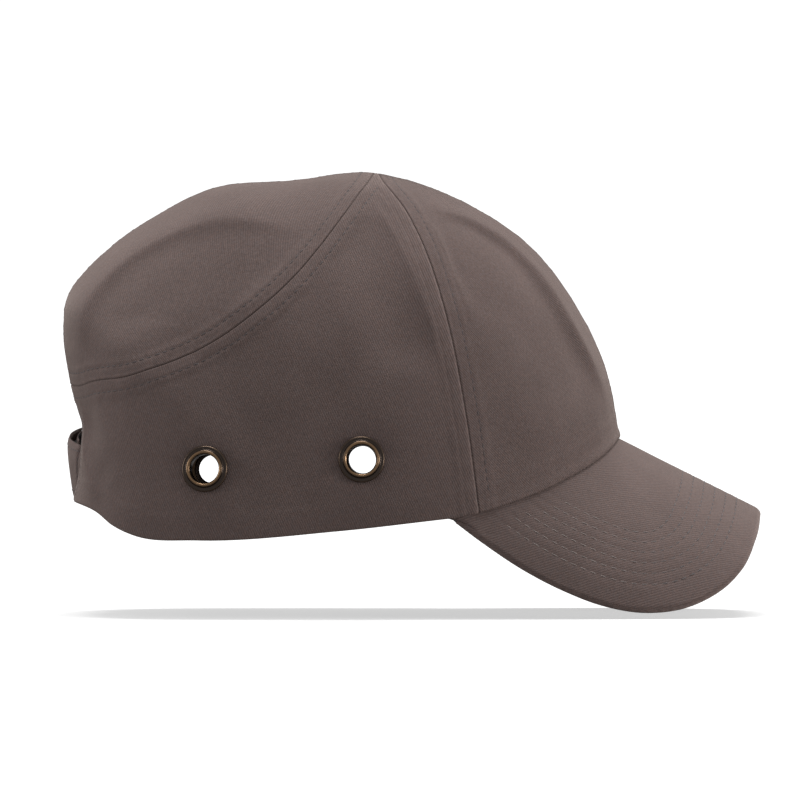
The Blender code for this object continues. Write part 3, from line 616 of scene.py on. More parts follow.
def whole_width(right, signs=MIRROR):
    """A right half and its mirror image as one grid, meeting in the plane of symmetry."""
    return np.concatenate([right[:, :0:-1] * signs, right], axis=1)


def symmetric_sheet(name, outer, inner, material, **rest):
    outer[:, 0, 1] = inner[:, 0, 1] = 0.0
    return closed_sheet(name, whole_width(outer), whole_width(inner), material, **rest)


def settle(obj, body, slot, *nodes):
    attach(obj, body)
    if nodes:
        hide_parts(*nodes)
    return obj


def placing(spot, normal):
    turn = Vector(normal).to_track_quat("Z", "Y").to_matrix().to_4x4()
    return Matrix.Translation(Vector(spot)) @ turn


def punch_out(obj, matrix, radius, depth, segments, length=0.0):
    """Cuts a hole through an object: round, or a slot along the matrix's x."""
    bm = bmesh.new()
    bmesh.ops.create_cone(
        bm, cap_ends=True, segments=segments, radius1=radius, radius2=radius, depth=depth
    )
    for vertex in bm.verts:
        vertex.co.x += math.copysign(length / 2, vertex.co.x)
    mesh = bpy.data.meshes.new("punch")
    bm.to_mesh(mesh)
    bm.free()
    punch = link(bpy.data.objects.new("punch", mesh))
    punch.matrix_world = matrix
    boolean = obj.modifiers.new("punch", "BOOLEAN")
    boolean.object, boolean.solver, boolean.operation = punch, "EXACT", "DIFFERENCE"
    bpy.context.view_layer.update()
    graph = bpy.context.evaluated_depsgraph_get()
    cut = bpy.data.meshes.new_from_object(
        obj.evaluated_get(graph), preserve_all_data_layers=True, depsgraph=graph
    )
    obj.modifiers.clear()
    obj.data = cut
    bpy.data.objects.remove(punch)


def stitches(
    name, rows, material, body, slot="twill", radius=THREAD, pitch=STITCH_PITCH, length=STITCH_LENGTH
):
    """Threads lying along rows of (points, normals), each a grain that dips into the cloth."""
    points, faces = [], []
    steps = ring = 6
    t = np.linspace(0.0, 1.0, steps)
    lift = radius * (1.5 * np.sin(math.pi * t) - 0.75)
    thick = radius * (0.45 + 0.55 * np.sin(math.pi * np.clip(t, 0.02, 0.98)) ** 0.5)
    for line, normals in rows:
        if len(line) < 3:
            continue
        run = run_length(line)
        for k in range(int((run[-1] - length) / pitch)):
            # Each stitch is laid a little unevenly and leans a little.
            jitter = 0.00012 * math.sin(k * 12.9898 + run[-1] * 4000)
            lean = 0.10 * math.sin(k * 7.77 + run[-1] * 900)
            at = k * pitch + jitter + length * t
            up = unit(interpolate(at, run, normals))
            spine = interpolate(at, run, line) + up * lift[:, None]
            forward = unit(spine[-1] - spine[0])
            side = np.cross(forward, up[steps // 2])
            spine += side * (lean * radius * (t[:, None] - 0.5) * 4)
            faces += tube_faces(steps, ring, len(points) * steps * ring)
            points.append(tube(spine, unit(np.cross(forward, up)) * 1.15, up, thick, ring))
    obj = build(name, np.concatenate(points).reshape(-1, 3), faces, material)
    return settle(obj, body, slot) if body else obj


# ---------------------------------------------------------------- materials
class Shader:
    """A small builder for one node material."""

    def __init__(self, name):
        self.material = bpy.data.materials.new(name)
        self.material.use_nodes = True
        self.tree = self.material.node_tree
        self.bsdf = self.tree.nodes["Principled BSDF"]
        self.place = self.node("ShaderNodeTexCoord").outputs["Object"]

    def node(self, kind, inputs=(), **settings):
        node = self.tree.nodes.new(kind)
        for key, value in settings.items():
            setattr(node, key, value)
        for key, value in dict(inputs).items():
            self.put(node.inputs[key], value)
        return node

    def put(self, socket, value):
        if isinstance(value, bpy.types.NodeSocket):
            self.tree.links.new(value, socket)
        else:
            socket.default_value = value

    def finish(self, **inputs):
        """The material, with its main shader's inputs set."""
        for key, value in inputs.items():
            self.put(self.bsdf.inputs[key.replace("_", " ")], value)
        return self.material

    def uv(self):
        uv = self.node("ShaderNodeUVMap", uv_map="UVMap").outputs["UV"]
        return uv, *self.node("ShaderNodeSeparateXYZ", {0: uv}).outputs[:2]

    def attribute(self, name):
        return self.node("ShaderNodeAttribute", attribute_name=name).outputs["Fac"]

    def math(self, operation, a, b=0.0, c=0.0, clamp=False):
        inputs = {0: a, 1: b, 2: c}
        return self.node("ShaderNodeMath", inputs, operation=operation, use_clamp=clamp).outputs[0]

    def times(self, value, *factors, clamp=False):
        for factor in factors:
            value = self.math("MULTIPLY", value, factor, clamp=clamp)
        return value

    def wave(self, value, per_metre):
        return self.math("SINE", self.times(value, 2 * math.pi * per_metre))

    def noise(self, scale, detail=2.0, roughness=0.5, vector=None):
        vector = self.place if vector is None else vector
        inputs = {"Vector": vector, "Scale": scale, "Detail": detail, "Roughness": roughness}
        return self.node("ShaderNodeTexNoise", inputs).outputs["Fac"]

    def cells(self, scale):
        inputs = {"Vector": self.place, "Scale": scale}
        return self.node("ShaderNodeTexVoronoi", inputs).outputs["Distance"]

    def between(self, value, low, high, to_low=0.0, to_high=1.0):
        inputs = {"Value": value, "From Min": low, "From Max": high}
        inputs |= {"To Min": to_low, "To Max": to_high}
        return self.node("ShaderNodeMapRange", inputs).outputs["Result"]

    def vary(self, value, to_low, to_high):
        """A factor that follows the middle of a noise's range."""
        return self.between(value, 0.3, 0.7, to_low, to_high)

    def tint(self, colour, factor):
        """A colour made lighter or darker by a factor socket."""
        node = self.node("ShaderNodeVectorMath", {0: colour, "Scale": factor}, operation="SCALE")
        return node.outputs["Vector"]

    def mix(self, factor, a, b):
        inputs = {"Factor": factor, 6: a, 7: b}
        return self.node("ShaderNodeMix", data_type="RGBA", inputs=inputs).outputs[2]

    def bump(self, height, distance, strength, **normal):
        inputs = {"Height": height, "Distance": distance, "Strength": strength} | normal
        return self.node("ShaderNodeBump", inputs).outputs["Normal"]


def twill(name, colour, wale, sewn=True, contrast=1.0):
    """Brushed cotton twill: diagonal wales of crossing yarns, slubs, soft fading and fuzz.

    `wale` is the wales' count a metre along u and along v.
    """
    s = Shader(name)
    uv, u, v = s.uv()
    across = s.math("ADD", s.times(u, wale[0]), s.times(v, wale[1]))
    wander = s.times(s.math("SUBTRACT", s.noise(150.0), 0.5), 0.35)
    wales = s.wave(s.math("ADD", across, wander), 1.0)
    yarns = s.times(s.wave(u, 1900.0), s.wave(v, 1650.0))
    weave = s.math("MULTIPLY_ADD", wales, 0.33, s.math("MULTIPLY_ADD", yarns, 0.15, 0.5))

    turn = {"Vector": uv, "Rotation": (0, 0, 0.9), "Scale": (2.6, 0.6, 1.0)}
    slubs = s.noise(800.0, 3.0, 0.6, vector=s.node("ShaderNodeMapping", turn).outputs[0])
    specks = s.noise(1500.0, 2.0, 0.6)
    factor = s.times(
        s.vary(slubs, 1 - 0.11 * contrast, 1 + 0.11 * contrast),
        s.vary(specks, 1 - 0.14 * contrast, 1 + 0.14 * contrast),
        s.vary(s.noise(60.0, 4.0, 0.6), 0.95, 1.05),
        s.vary(s.noise(16.0, 3.0), 0.95, 1.06),
        s.between(weave, 0.0, 1.0, 1 - 0.24 * contrast, 1 + 0.24 * contrast),
    )
    if sewn:
        edge = s.attribute("edge")
        # A patchy painted highlight on the folds beside seams and edges, brightest about 1.1 mm from
        # them.
        fold = s.math("ABSOLUTE", s.math("SUBTRACT", edge, 0.0011))
        wear_and_highlight_mask = s.between(s.noise(220.0, 3.0), 0.40, 0.65)
        painted_fold_highlight = s.times(s.between(fold, 0.0, 0.0008, 1.0, 0.0), wear_and_highlight_mask)
        factor = s.math("MULTIPLY_ADD", painted_fold_highlight, 0.24, factor)
        # Painted light from an attribute: a painted highlight where it is above zero, painted shade
        # where it is below.
        lip = s.times(s.attribute("lip"), s.between(s.noise(500.0), 0.35, 0.6, 0.3, 1.0))
        factor = s.math("MULTIPLY_ADD", lip, 0.50, factor)
        # Painted shade in the seam lines and along the panels' foot, within 0.4 mm of them.
        factor = s.times(factor, s.between(edge, 0.0001, 0.0004, 0.72, 1.0))
    red, green, blue = colour
    tone = s.mix(
        s.between(s.noise(1100.0, 1.0), 0.35, 0.65),
        (red * 1.03, green * 0.99, blue * 0.97, 1.0),
        (red * 0.97, green * 1.01, blue * 1.04, 1.0),
    )
    crumple = s.bump(s.noise(420.0, 4.0, 0.62), 0.00018, 0.8)
    yarn = s.math("MULTIPLY_ADD", specks, 0.4, weave)
    return s.finish(
        Base_Color=s.tint(tone, factor),
        Roughness=0.92,
        Sheen_Weight=0.28,
        Sheen_Roughness=0.45,
        Sheen_Tint=(1.0, 0.86, 0.78, 1.0),
        Specular_IOR_Level=0.12,
        Normal=s.bump(yarn, 0.00009, 0.9, Normal=crumple),
    )


def plain_weave(name, colour, rib=0.0008, cord=0.0011):
    """Narrow woven tape: fine ribs across it."""
    s = Shader(name)
    _, u, v = s.uv()
    weave = s.math("MULTIPLY_ADD", s.times(s.wave(v, 1 / rib), s.wave(u, 1 / cord)), 0.5, 0.5)
    specks = s.vary(s.noise(1400.0, 2.0, 0.6), 0.85, 1.2)
    return s.finish(
        Base_Color=s.tint(colour, s.times(s.between(weave, 0, 1, 0.8, 1.15), specks)),
        Roughness=0.85,
        Sheen_Weight=0.15,
        Specular_IOR_Level=0.2,
        Normal=s.bump(weave, 0.00012, 0.8),
    )


def pile(name, colour, scale, depth):
    """Looped or hooked pile: terry cloth and the faces of hook-and-loop tape."""
    s = Shader(name)
    cells, fluff = s.cells(scale), s.noise(scale * 1.9, 3.0, 0.7)
    factor = s.times(s.between(cells, 0.1, 0.7, 1.25, 0.55), s.vary(fluff, 0.8, 1.25))
    return s.finish(
        Base_Color=s.tint(colour, factor),
        Roughness=0.97,
        Sheen_Weight=0.35,
        Specular_IOR_Level=0.1,
        Normal=s.bump(s.math("MULTIPLY_ADD", cells, -0.8, fluff), depth, 0.9),
    )


def moulded(name, colour, roughness=0.42):
    """Moulded plastic: fine eggshell grain, slight flow marks and scuffs."""
    s = Shader(name)
    fine = s.noise(1500.0)
    drawn = {"Vector": s.place, "Scale": (1.0, 6.0, 2.0)}
    scuff = s.noise(60.0, 6.0, 0.75, vector=s.node("ShaderNodeMapping", drawn).outputs[0])
    wear_and_highlight_mask = s.between(scuff, 0.58, 0.72)
    return s.finish(
        Base_Color=s.tint(colour, s.math("MULTIPLY_ADD", wear_and_highlight_mask, 0.5, s.vary(fine, 0.93, 1.07))),
        Roughness=s.math("MULTIPLY_ADD", wear_and_highlight_mask, 0.18, roughness),
        Normal=s.bump(fine, 0.00006, 0.5),
    )


def foam(name, colour):
    """Closed-cell foam: tiny open pores on a cut skin."""
    s = Shader(name)
    pores, broad = s.cells(1500.0), s.noise(90.0, 4.0, 0.6)
    factor = s.times(s.between(pores, 0.05, 0.5, 0.72, 1.12), s.vary(broad, 0.9, 1.1))
    return s.finish(
        Base_Color=s.tint(colour, factor),
        Roughness=0.88,
        Specular_IOR_Level=0.25,
        Normal=s.bump(pores, 0.00012, 0.6),
    )


def antique_brass(name, dark, bright):
    """Blackened brass, bared to a warm metal on its raised edges."""
    s = Shader(name)
    mottle = s.noise(160.0, 3.0)
    wear_and_highlight_mask = s.times(s.attribute("edge"), s.between(mottle, 0.25, 0.55, 0.75, 1.0), clamp=True)
    return s.finish(
        Base_Color=s.mix(wear_and_highlight_mask, (*dark, 1.0), (*bright, 1.0)),
        Metallic=1.0,
        Roughness=s.vary(mottle, 0.28, 0.40),
    )


def thread(name, colour, front=None):
    """Spun polyester thread with its twist showing; given a second colour, it is painted lighter on
    the sides and darker towards the front, for the sheen it shows only on the sides.
    """
    s = Shader(name)
    ply = s.noise(3200.0, 2.0, 0.6)
    if front:
        forward = s.node("ShaderNodeSeparateXYZ", {0: s.place}).outputs[0]
        colour = s.mix(s.between(forward, 0.070, 0.105), (*colour, 1.0), (*front, 1.0))
    return s.finish(
        Base_Color=s.tint(colour, s.vary(ply, 0.75, 1.25)),
        Roughness=0.6,
        Sheen_Weight=0.2,
        Normal=s.bump(ply, 0.00008, 0.8),
    )


CLOTH = np.array([0.168, 0.124, 0.115])
TWILLS = {
    "side": twill("twill_side", CLOTH, (1050.0, 475.0)),
    "front": twill("twill_front", CLOTH, (915.0, 825.0), contrast=1.25),
    "crown": twill("twill_crown", CLOTH, (640.0, 900.0)),
    # The visor's cloth is painted 8% darker than the rest: painted shade against the extra light that
    # the front lamp throws on it.
    "visor": twill("twill_visor", 0.92 * CLOTH, (690.0, 708.0), contrast=0.85),
}
TWILL_PLAIN = twill("twill_inside", 0.9 * CLOTH, (800.0, 800.0), sewn=False)
THREAD_DARK = thread("thread", (0.096, 0.085, 0.090))
THREAD_LIGHT = thread("visor_thread", (0.380, 0.330, 0.310), front=(0.122, 0.112, 0.118))
TAPE_BLACK = plain_weave("tape", (0.018, 0.018, 0.019))
TERRY = pile("terry", (0.050, 0.046, 0.046), 900.0, 0.0005)
HOOKS = pile("hook_face", (0.014, 0.014, 0.015), 1500.0, 0.0004)
LOOPS = pile("loop_face", (0.020, 0.020, 0.021), 800.0, 0.0005)
ABS = moulded("abs", (0.028, 0.028, 0.030))
BOARD = moulded("board", (0.70, 0.70, 0.67), 0.5)
FOAM = foam("foam", (0.045, 0.045, 0.048))
BRASS = antique_brass("antique_brass", (0.080, 0.062, 0.053), (0.36, 0.225, 0.125))


# ---------------------------------------------------------------- crown panels
def twill_coordinates(kind, grid, sign):
    """Where each point lies on the flat cloth that the panel was cut from, in metres."""
    x, y, z = grid[..., 0], np.abs(grid[..., 1]), grid[..., 2]
    if kind == "side":
        back = np.maximum(-0.075 - x, 0.0)
        bend = HALF_WIDTH * np.arctan2(back, y + 0.004) - back
        return np.stack([(x - bend) * sign, z], axis=2)
    if kind == "front":
        return np.stack([-HALF_WIDTH * np.arctan2(y, x + 0.005) * sign, z * 1.12], axis=2)
    return np.stack([y * sign + 0.4 * z, -0.149 * np.arctan2(z - CORE[2], x - CORE[0])], axis=2)


def make_panels():
    for kind in ("front", "crown", "side"):
        base = panel_grid(kind)
        for side, sign in SIDES:
            grid = base * (1, sign, 1)
            normal = outward(grid)
            broad = broad_relief(grid)
            sewn, edge = seam_relief(grid)
            outer = off(grid, normal, broad + sewn)
            rim = hill(edge, 0.0, 0.0009)
            inner = off(grid, normal, broad - FABRIC * (1.0 - 0.15 * rim) - 0.0002 * rim)
            values = {"edge": edge}
            if kind == "side":
                # A painted highlight on the side panel's folded edge along the front seam.
                front = SEAMS[2 if sign > 0 else 3].nearest(grid)[0]
                values["lip"] = hill(front, 0.0006, 0.0003)
            uv = twill_coordinates(kind, grid, sign)
            name = f"fabric_{kind}_{side}"
            panel = closed_sheet(name, outer, inner, TWILLS[kind], uv, values, TWILL_PLAIN)
            if kind == "side":
                for place in EYELETS:
                    hole = placing(*EYELET_SPOTS[place, side])
                    punch_out(panel, hole, EYELET_HOLE, EYELET_PUNCH, 48)
            settle(panel, "cap", "twill", f"{kind}_panel_{side}")


# ---------------------------------------------------------------- topstitching on the crown
def raised(points):
    """Points on the crown's fabric as it lies, with its normals."""
    surface = on_crown(points)
    normal = outward(surface)
    return off(surface, normal, broad_relief(surface) + seam_relief(surface)[0]), normal


def across_of(line):
    """The directions on the crown at right angles to a line."""
    return unit(np.cross(outward(line), np.gradient(line, axis=0)))


def offset_row(line, offset, own):
    """A row of topstitching beside a seam, without the stretches that another seam crosses."""
    line = resample(line, 700)
    row = on_crown(line + across_of(line) * offset)
    clear = gap_to(SEAMS[:own] + SEAMS[own + 1 :], row) > ROW_CLEAR_OF_SEAMS
    row = row[clear & (gap_to(EDGES, row) > ROW_CLEAR_OF_EDGES)]
    return raised(resample(row, len(row))) if len(row) > 5 else (row, row)


def arch_ring(count):
    """The whole arch from the wearer's right to the left, and the directions into its opening."""
    whole = resample(both_sides(LINES["arch"] * MIRROR), count)
    inward = across_of(whole)
    centre = np.array([whole[:, 0].min(), 0.0, ARCH_CENTRE_Z])
    return whole, inward * np.sign(((centre - whole) * inward).sum(axis=1, keepdims=True))


def make_topstitching():
    lines = {"centre_front": LINES["centre_front"], "centre_back": BACK_LINE}
    for name in ("front_seam", "crown_seam"):
        lines |= {f"{name}_{side}": LINES[name] * (1, sign, 1) for side, sign in SIDES}
    for own, (name, line) in enumerate(lines.items()):
        rows = [offset_row(line, sign * ROW_OFFSET, own) for sign in (-1, 1)]
        if name.startswith("front_seam"):
            rows = [max(rows, key=lambda row: row[0][:, 0].mean())]
        stitches(f"stitching_{name}", rows, THREAD_DARK, "cap")
    whole, inward = arch_ring(500)
    row = on_crown(whole - inward * ARCH_ROW_OFFSET)
    stitches("stitching_arch", [raised(row[12:-12])], THREAD_LIGHT, "cap")


# ---------------------------------------------------------------- visor
OUTLINE = smooth_curve(VISOR_OUTLINE, 400)
OUTLINE_OUT = unit(np.gradient(OUTLINE, axis=0)[:, ::-1] * (-1, 1))
OUTLINE_OUT[0] = (0.0, 1.0)


def outline_distance(blank):
    """Distance from points of the flat blank to its outer edge."""
    flat = blank.reshape(-1, 2)
    parts = np.array_split(flat, len(flat) // 4000 + 1)
    gaps = [norm(part[:, None] - OUTLINE).min(axis=1) for part in parts]
    return np.concatenate(gaps).reshape(blank.shape[:-1])


def row_distance(k):
    return VISOR_ROW_FIRST + k * VISOR_ROW_SPACING


def visor_rim(count):
    """How wide the rolled edge is along the outline, as a column."""
    share = np.linspace(0.0, 1.0, count)[:, None]
    return VISOR_RIM_WING + (VISOR_RIM_FRONT - VISOR_RIM_WING) * smoothstep(0.45, 0.12, share)


def visor_blank(columns, rows, tuck):
    """Blank coordinates from the visor's root to the start of its rolled rim."""
    round_bend = np.linspace(0.0, ROOT_ROUND[-1], columns)
    root = np.interp(round_bend, ROOT_ROUND, ROOT_FORWARD) - tuck
    outer = resample(OUTLINE - OUTLINE_OUT * visor_rim(len(OUTLINE)), columns)
    share = np.linspace(0.0, 1.0, rows)[:, None, None]
    return (1 - share) * np.stack([round_bend, root], axis=1) + share * outer


def visor_face(top):
    """(outer face, inner face, how much painted light its rim gets, UVs) of the upper or lower cover,
    right half.
    """
    half, sign = VISOR_THICKNESS / 2, 1 if top else -1
    columns, rows, turns = 150, 110, 12
    blank = visor_blank(columns, rows, 0.0016 if top else 0.0030)
    distance = outline_distance(blank)
    rows_pressed = sum(hill(distance, row_distance(k), 0.0009) for k in range(VISOR_ROWS))
    relief = -0.00012 * rows_pressed * smoothstep(0.0, 0.004, distance)
    # The covers close on each other at the ends of the wings.
    pinch = smoothstep(columns - 9, columns - 1, np.arange(columns))
    thin, thinner = half * (1 - 0.59 * pinch), (half - FABRIC) * (1 - 0.9 * pinch)
    round_bend, forward = blank[..., 0], blank[..., 1]
    place = visor_point(round_bend, forward, half - sign * (thin + relief))
    swell = 0.00016 * perlin(place, 0.018, 7.0 if top else 17.0)
    outer = [off(place, visor_normal(round_bend), swell)]
    inner = [visor_point(round_bend, forward, half - sign * thinner)]
    edge = blank[-1]
    away = resample(OUTLINE, columns) - edge
    rim = norm(away)[:, None]
    away /= rim
    for k in range(1, turns + 1):
        turn = math.pi / 2 * k / turns
        groove = 0.00016 * hill(turns - k, 0.0, 1.2)
        for grid, shrink, high in ((outer, groove, thin - groove), (inner, FABRIC, thinner)):
            at = edge + away * (rim - shrink) * math.sin(turn)
            grid.append(visor_point(*at.T, half - sign * high * math.cos(turn))[None])
    # The rolled rim is painted lighter, standing in for light thrown up from the floor.
    painted_rim_light = np.zeros((rows + turns, columns))
    painted_rim_light[-9:] = np.linspace(0.3, 2.3, 9)[:, None]
    tail = np.repeat(blank[-1:], turns, axis=0)
    tail[..., 1] += np.linspace(0.0004, 0.0050, turns)[:, None]
    return np.concatenate(outer), np.concatenate(inner), painted_rim_light, np.concatenate([blank, tail])


def visor_row(k, top):
    """(points, normals) of one row of stitching from side to side."""
    curve = OUTLINE - OUTLINE_OUT * row_distance(k)
    root = np.interp(curve[:, 0], ROOT_ROUND, ROOT_FORWARD)
    good = (curve[:, 1] > root + 0.0016) & (curve[:, 0] < ROOT_ROUND[-1])
    good &= outline_distance(curve) > row_distance(k) - 0.0004
    curve = resample(curve[: np.argmin([*good, False])], 300)
    points = visor_point(*curve.T, 0.00010 if top else VISOR_THICKNESS - 0.00010)
    normals = visor_normal(curve[:, 0]) * (1 if top else -1)
    return both_sides(points), both_sides(normals)


def make_visor():
    for name in ("top", "under"):
        outer, inner, painted_rim_light, uv = visor_face(name == "top")
        looks = {"uv": whole_width(uv, (-1, 1)), "values": {"lip": whole_width(painted_rim_light, 1)}}
        cover = symmetric_sheet(f"fabric_visor_{name}", outer, inner, TWILLS["visor"], **looks)
        settle(cover, "cap", "twill", f"visor_{name}_cover")
        rows = [visor_row(k, name == "top") for k in range(VISOR_ROWS)]
        size = {"pitch": VISOR_STITCH_PITCH, "length": VISOR_STITCH_LENGTH}
        stitches(f"stitching_visor_{name}", rows, THREAD_LIGHT, "cap", **size)


def make_board():
    """The moulded stiffener between the visor's covers, rounded off inside its wings."""
    columns, rows = 90, 50
    blank = visor_blank(columns, rows, 0.0)
    end = blank[-1, -1].copy()
    blank[:, -1] = blank[:, -2]
    thin = VISOR_THICKNESS / 2 - FABRIC - GAP
    thin = thin * (1 - 0.8 * smoothstep(0.012, 0.003, norm(blank - end)))
    thin *= 1 - 0.93 * smoothstep(columns - 9, columns - 2, np.arange(columns))
    upper, lower = (
        visor_point(blank[..., 0], blank[..., 1], VISOR_THICKNESS / 2 - sign * thin)
        for sign in (1, -1)
    )
    settle(symmetric_sheet("board", upper, lower, BOARD), "cap", "visor_board", "visor_board")


# ---------------------------------------------------------------- inside: tapes and sweatband
def tape_sheet(name, line, node):
    line = resample(line, 140)
    lanes = np.linspace(-0.5, 0.5, 13)
    surface = on_crown(line[:, None] + (across_of(line) * TAPE_WIDTH)[:, None] * lanes[:, None])
    normal = outward(surface)
    surface = off(surface, normal, broad_relief(surface))
    wave = 0.00008 * np.sin(np.linspace(0, 90, len(line)))[:, None]
    bulge = 0.00025 * (1 - (np.abs(lanes) * 2) ** 4)
    outer = surface - normal * TAPE_DEPTH
    inner = off(surface, normal, -(TAPE_DEPTH + TAPE + bulge + wave))
    settle(closed_sheet(name, outer, inner, TAPE_BLACK), "cap", "tape", node)
    rows = [(inner[:, lane], -normal[:, lane]) for lane in (2, 10)]
    stitches(f"stitching_{name}", rows, THREAD_DARK, "cap", "tape", radius=0.00016)


def make_tapes():
    for name in ("front_seam", "crown_seam"):
        line = LINES[name]
        away = norm(line - line[0]) > 0.037
        if name == "crown_seam":
            away &= np.abs(line[:, 1]) > TAPE_WIDTH
        else:
            away &= line[:, 2] > SWEATBAND_TOP[2][1] + 0.006
        for side, sign in SIDES:
            tape_sheet(f"tape_{name}_{side}", line[away] * (1, sign, 1), f"{name}_tape_{side}")
    front_end = np.array(SWEATBAND_TOP[0]) + (0, 0.002)
    back_end = LINES["arch"][0, [0, 2]] + (0, 0.003)
    spine = np.concatenate([centre_line(front_end, APEX, 60)[:-1], centre_line(APEX, back_end, 80)])
    tape_sheet("tape_centre", spine, "centre_seam_tape")


def make_sweatband():
    columns, rows = 130, 22
    seam = 0.86  # the share down the band where it is sewn
    bottom = np.concatenate([LINES["front_foot"][::-1], LINES["lower_edge"][1:]])
    bottom = resample(bottom[bottom[:, 0] > SWEATBAND_END_X], columns)
    top = right_side(smooth_curve(SWEATBAND_TOP + [(SWEATBAND_END_X, 0.044)], 300))
    top[0, 1] = 0.0
    down = np.linspace(0.0, 1.0, rows)[:, None]
    grid = (1 - down[..., None]) * resample(top, columns) + down[..., None] * bottom
    grid[-3:, :, 2] += 0.0004
    surface = on_crown(grid)
    normal = outward(surface)
    surface = off(surface, normal, np.minimum(broad_relief(surface), 0.0))
    puff = np.clip(np.sin(math.pi * down), 0, 1) ** 0.35
    thick = SWEATBAND * (0.25 + 0.75 * puff) - 0.0005 * hill(down, seam, 0.03)
    thick = thick + 0.00022 * perlin(surface, 0.007, 3.3)
    outer = surface - normal * SWEATBAND_DEPTH
    inner = off(surface, normal, -(SWEATBAND_DEPTH + thick))
    band = symmetric_sheet("sweatband_cloth", outer, inner, TERRY)
    settle(band, "cap", "terry", "sweatband")
    row = int(seam * (rows - 1))
    sewing = both_sides(inner[row]), both_sides(-normal[row])
    stitches("stitching_sweatband", [sewing], THREAD_LIGHT, "cap", "terry")


# ---------------------------------------------------------------- arch edge, eyelets
def make_arch_edge():
    ring = 12
    whole, inward = arch_ring(160)
    normal = outward(whole)
    steps = np.arange(len(whole))
    reach = np.minimum(steps, steps[::-1]) / 8.0
    radius = 0.00085 * np.sqrt(np.clip(reach, 0.02, 1.0))
    points = tube(off(whole, normal, broad_relief(whole) - 0.00062), inward, normal, radius, ring)
    faces = tube_faces(len(whole), ring)
    edge = build("arch_edge", points.reshape(-1, 3), faces, TWILL_PLAIN)
    edge.data.uv_layers.new(name="UVMap")
    settle(edge, "cap", "twill", "arch_binding")


def lathe(name, section, matrix, wear_and_highlight_mask, segments=72):
    """A ring turned from a closed (radius, height) section; the weights after the matrix mark where
    each of the section's points is bared to metal.
    """
    angle = (2 * math.pi / segments * np.arange(segments))[:, None]
    radius, height = section.T
    turned = xyz(radius * np.cos(angle), radius * np.sin(angle), height).reshape(-1, 3)
    matrix = np.array(matrix)
    index = np.arange(len(turned)).reshape(segments, -1)
    faces = quads(np.concatenate([index, index[:1]]), wrap=True)
    ring = build(name, turned @ matrix[:3, :3].T + matrix[:3, 3], faces.tolist(), BRASS)
    set_attribute(ring.data, "edge", np.tile(wear_and_highlight_mask, segments))
    return ring


def rounded_section(corners, count):
    """A closed (radius, height) section through soft corners."""
    dense = resample(np.array([*corners, corners[0]]), 600)[:-1]
    kernel = np.hanning(31)
    wrapped = np.concatenate([dense[-15:], dense, dense[:15]])
    soft = [np.convolve(column, kernel / kernel.sum(), "valid") for column in wrapped.T]
    return np.stack(soft, axis=1)[:: len(dense) // count]


def make_eyelets():
    bore, flange = EYELET_BORE, EYELET_FLANGE
    section = rounded_section([
        (bore, 0.0010), (bore + 0.0002, 0.0019), (bore + 0.0008, 0.0024), (bore + 0.0014, 0.0021),
        (bore + 0.0018, 0.0012), (bore + 0.0021, 0.0010), (bore + 0.0028, 0.0012),
        (flange - 0.0002, 0.0010), (flange + 0.0001, 0.0004), (flange - 0.0002, 0.0001),
        (bore + 0.0010, 0.0001), (bore + 0.0006, -0.0024), (bore + 0.0014, -0.0026),
        (bore + 0.0019, -0.0029), (bore + 0.0016, -0.0034), (bore + 0.0006, -0.0035),
        (bore, -0.0030),
    ], 150)
    radius, height = section[:, 0] - bore, section[:, 1]
    wear_and_highlight_mask = hill(radius, 0.0008, 0.0005) * (height > 0.0014)
    wear_and_highlight_mask += 0.25 * hill(radius, 0.0033, 0.00025) * (height > 0.0004)
    wear_and_highlight_mask += 0.6 * hill(radius, 0.0, 0.0003) * smoothstep(0.0004, 0.0016, height)
    inner = bore + 0.0009
    washer = [(flange, -0.0018), (flange, -0.0023), (inner, -0.0023), (inner, -0.0017)]
    washer = rounded_section(washer, 60)
    for (place, side), spot in EYELET_SPOTS.items():
        matrix = placing(*spot)
        ring = lathe(f"grommet_{place}_{side}", section, matrix, wear_and_highlight_mask)
        settle(ring, "cap", "brass", f"eyelet_{place}_{side}")
        back = lathe(f"grommet_washer_{place}_{side}", washer, matrix, np.full(len(washer), 0.4))
        settle(back, "cap", "brass", f"eyelet_washer_{place}_{side}")


# ---------------------------------------------------------------- impact shell and pads
def shell_surface(rows, columns):
    """A grid on the crown from its top down to the shell's edge, all the way round."""
    azimuth = np.linspace(-math.pi, math.pi, columns + 1)[:-1]
    height = SHELL_EDGE_SIDE_Z
    for sign, end_z in ((1, SHELL_EDGE_FRONT_Z), (-1, SHELL_EDGE_REAR_Z)):
        share = np.clip(sign * np.cos(azimuth), 0.0, 1.0) ** 2
        height = height + (end_z - SHELL_EDGE_SIDE_Z) * share
    ahead = xyz(np.cos(azimuth), np.sin(azimuth), 0.0)
    edge = unit(meet_crown(xyz(CORE[0], 0.0, height), ahead, 0.15) - CORE)
    top = unit(np.array([APEX[0], 0.0, APEX[1]]) - CORE)
    share = np.linspace(0.0, 1.0, rows)[:, None, None]
    angle = np.arccos(edge @ top)[:, None]
    return on_crown(CORE + np.sin((1 - share) * angle) * top + np.sin(share * angle) * edge)


def shell_slots():
    """(place, direction, length) of each vent."""
    on_top = [(x, y, 0.170) for x in (0.030, -0.018, -0.066, -0.108) for y in (-0.030, 0.030)]
    on_sides = [(x, y, 0.100) for x in (0.010, -0.030, -0.070) for y in (-0.078, 0.078)]
    return [(place, (1, 0, 0), 0.018) for place in on_top] + [
        (place, (0, 0, 1), 0.014) for place in on_sides
    ]


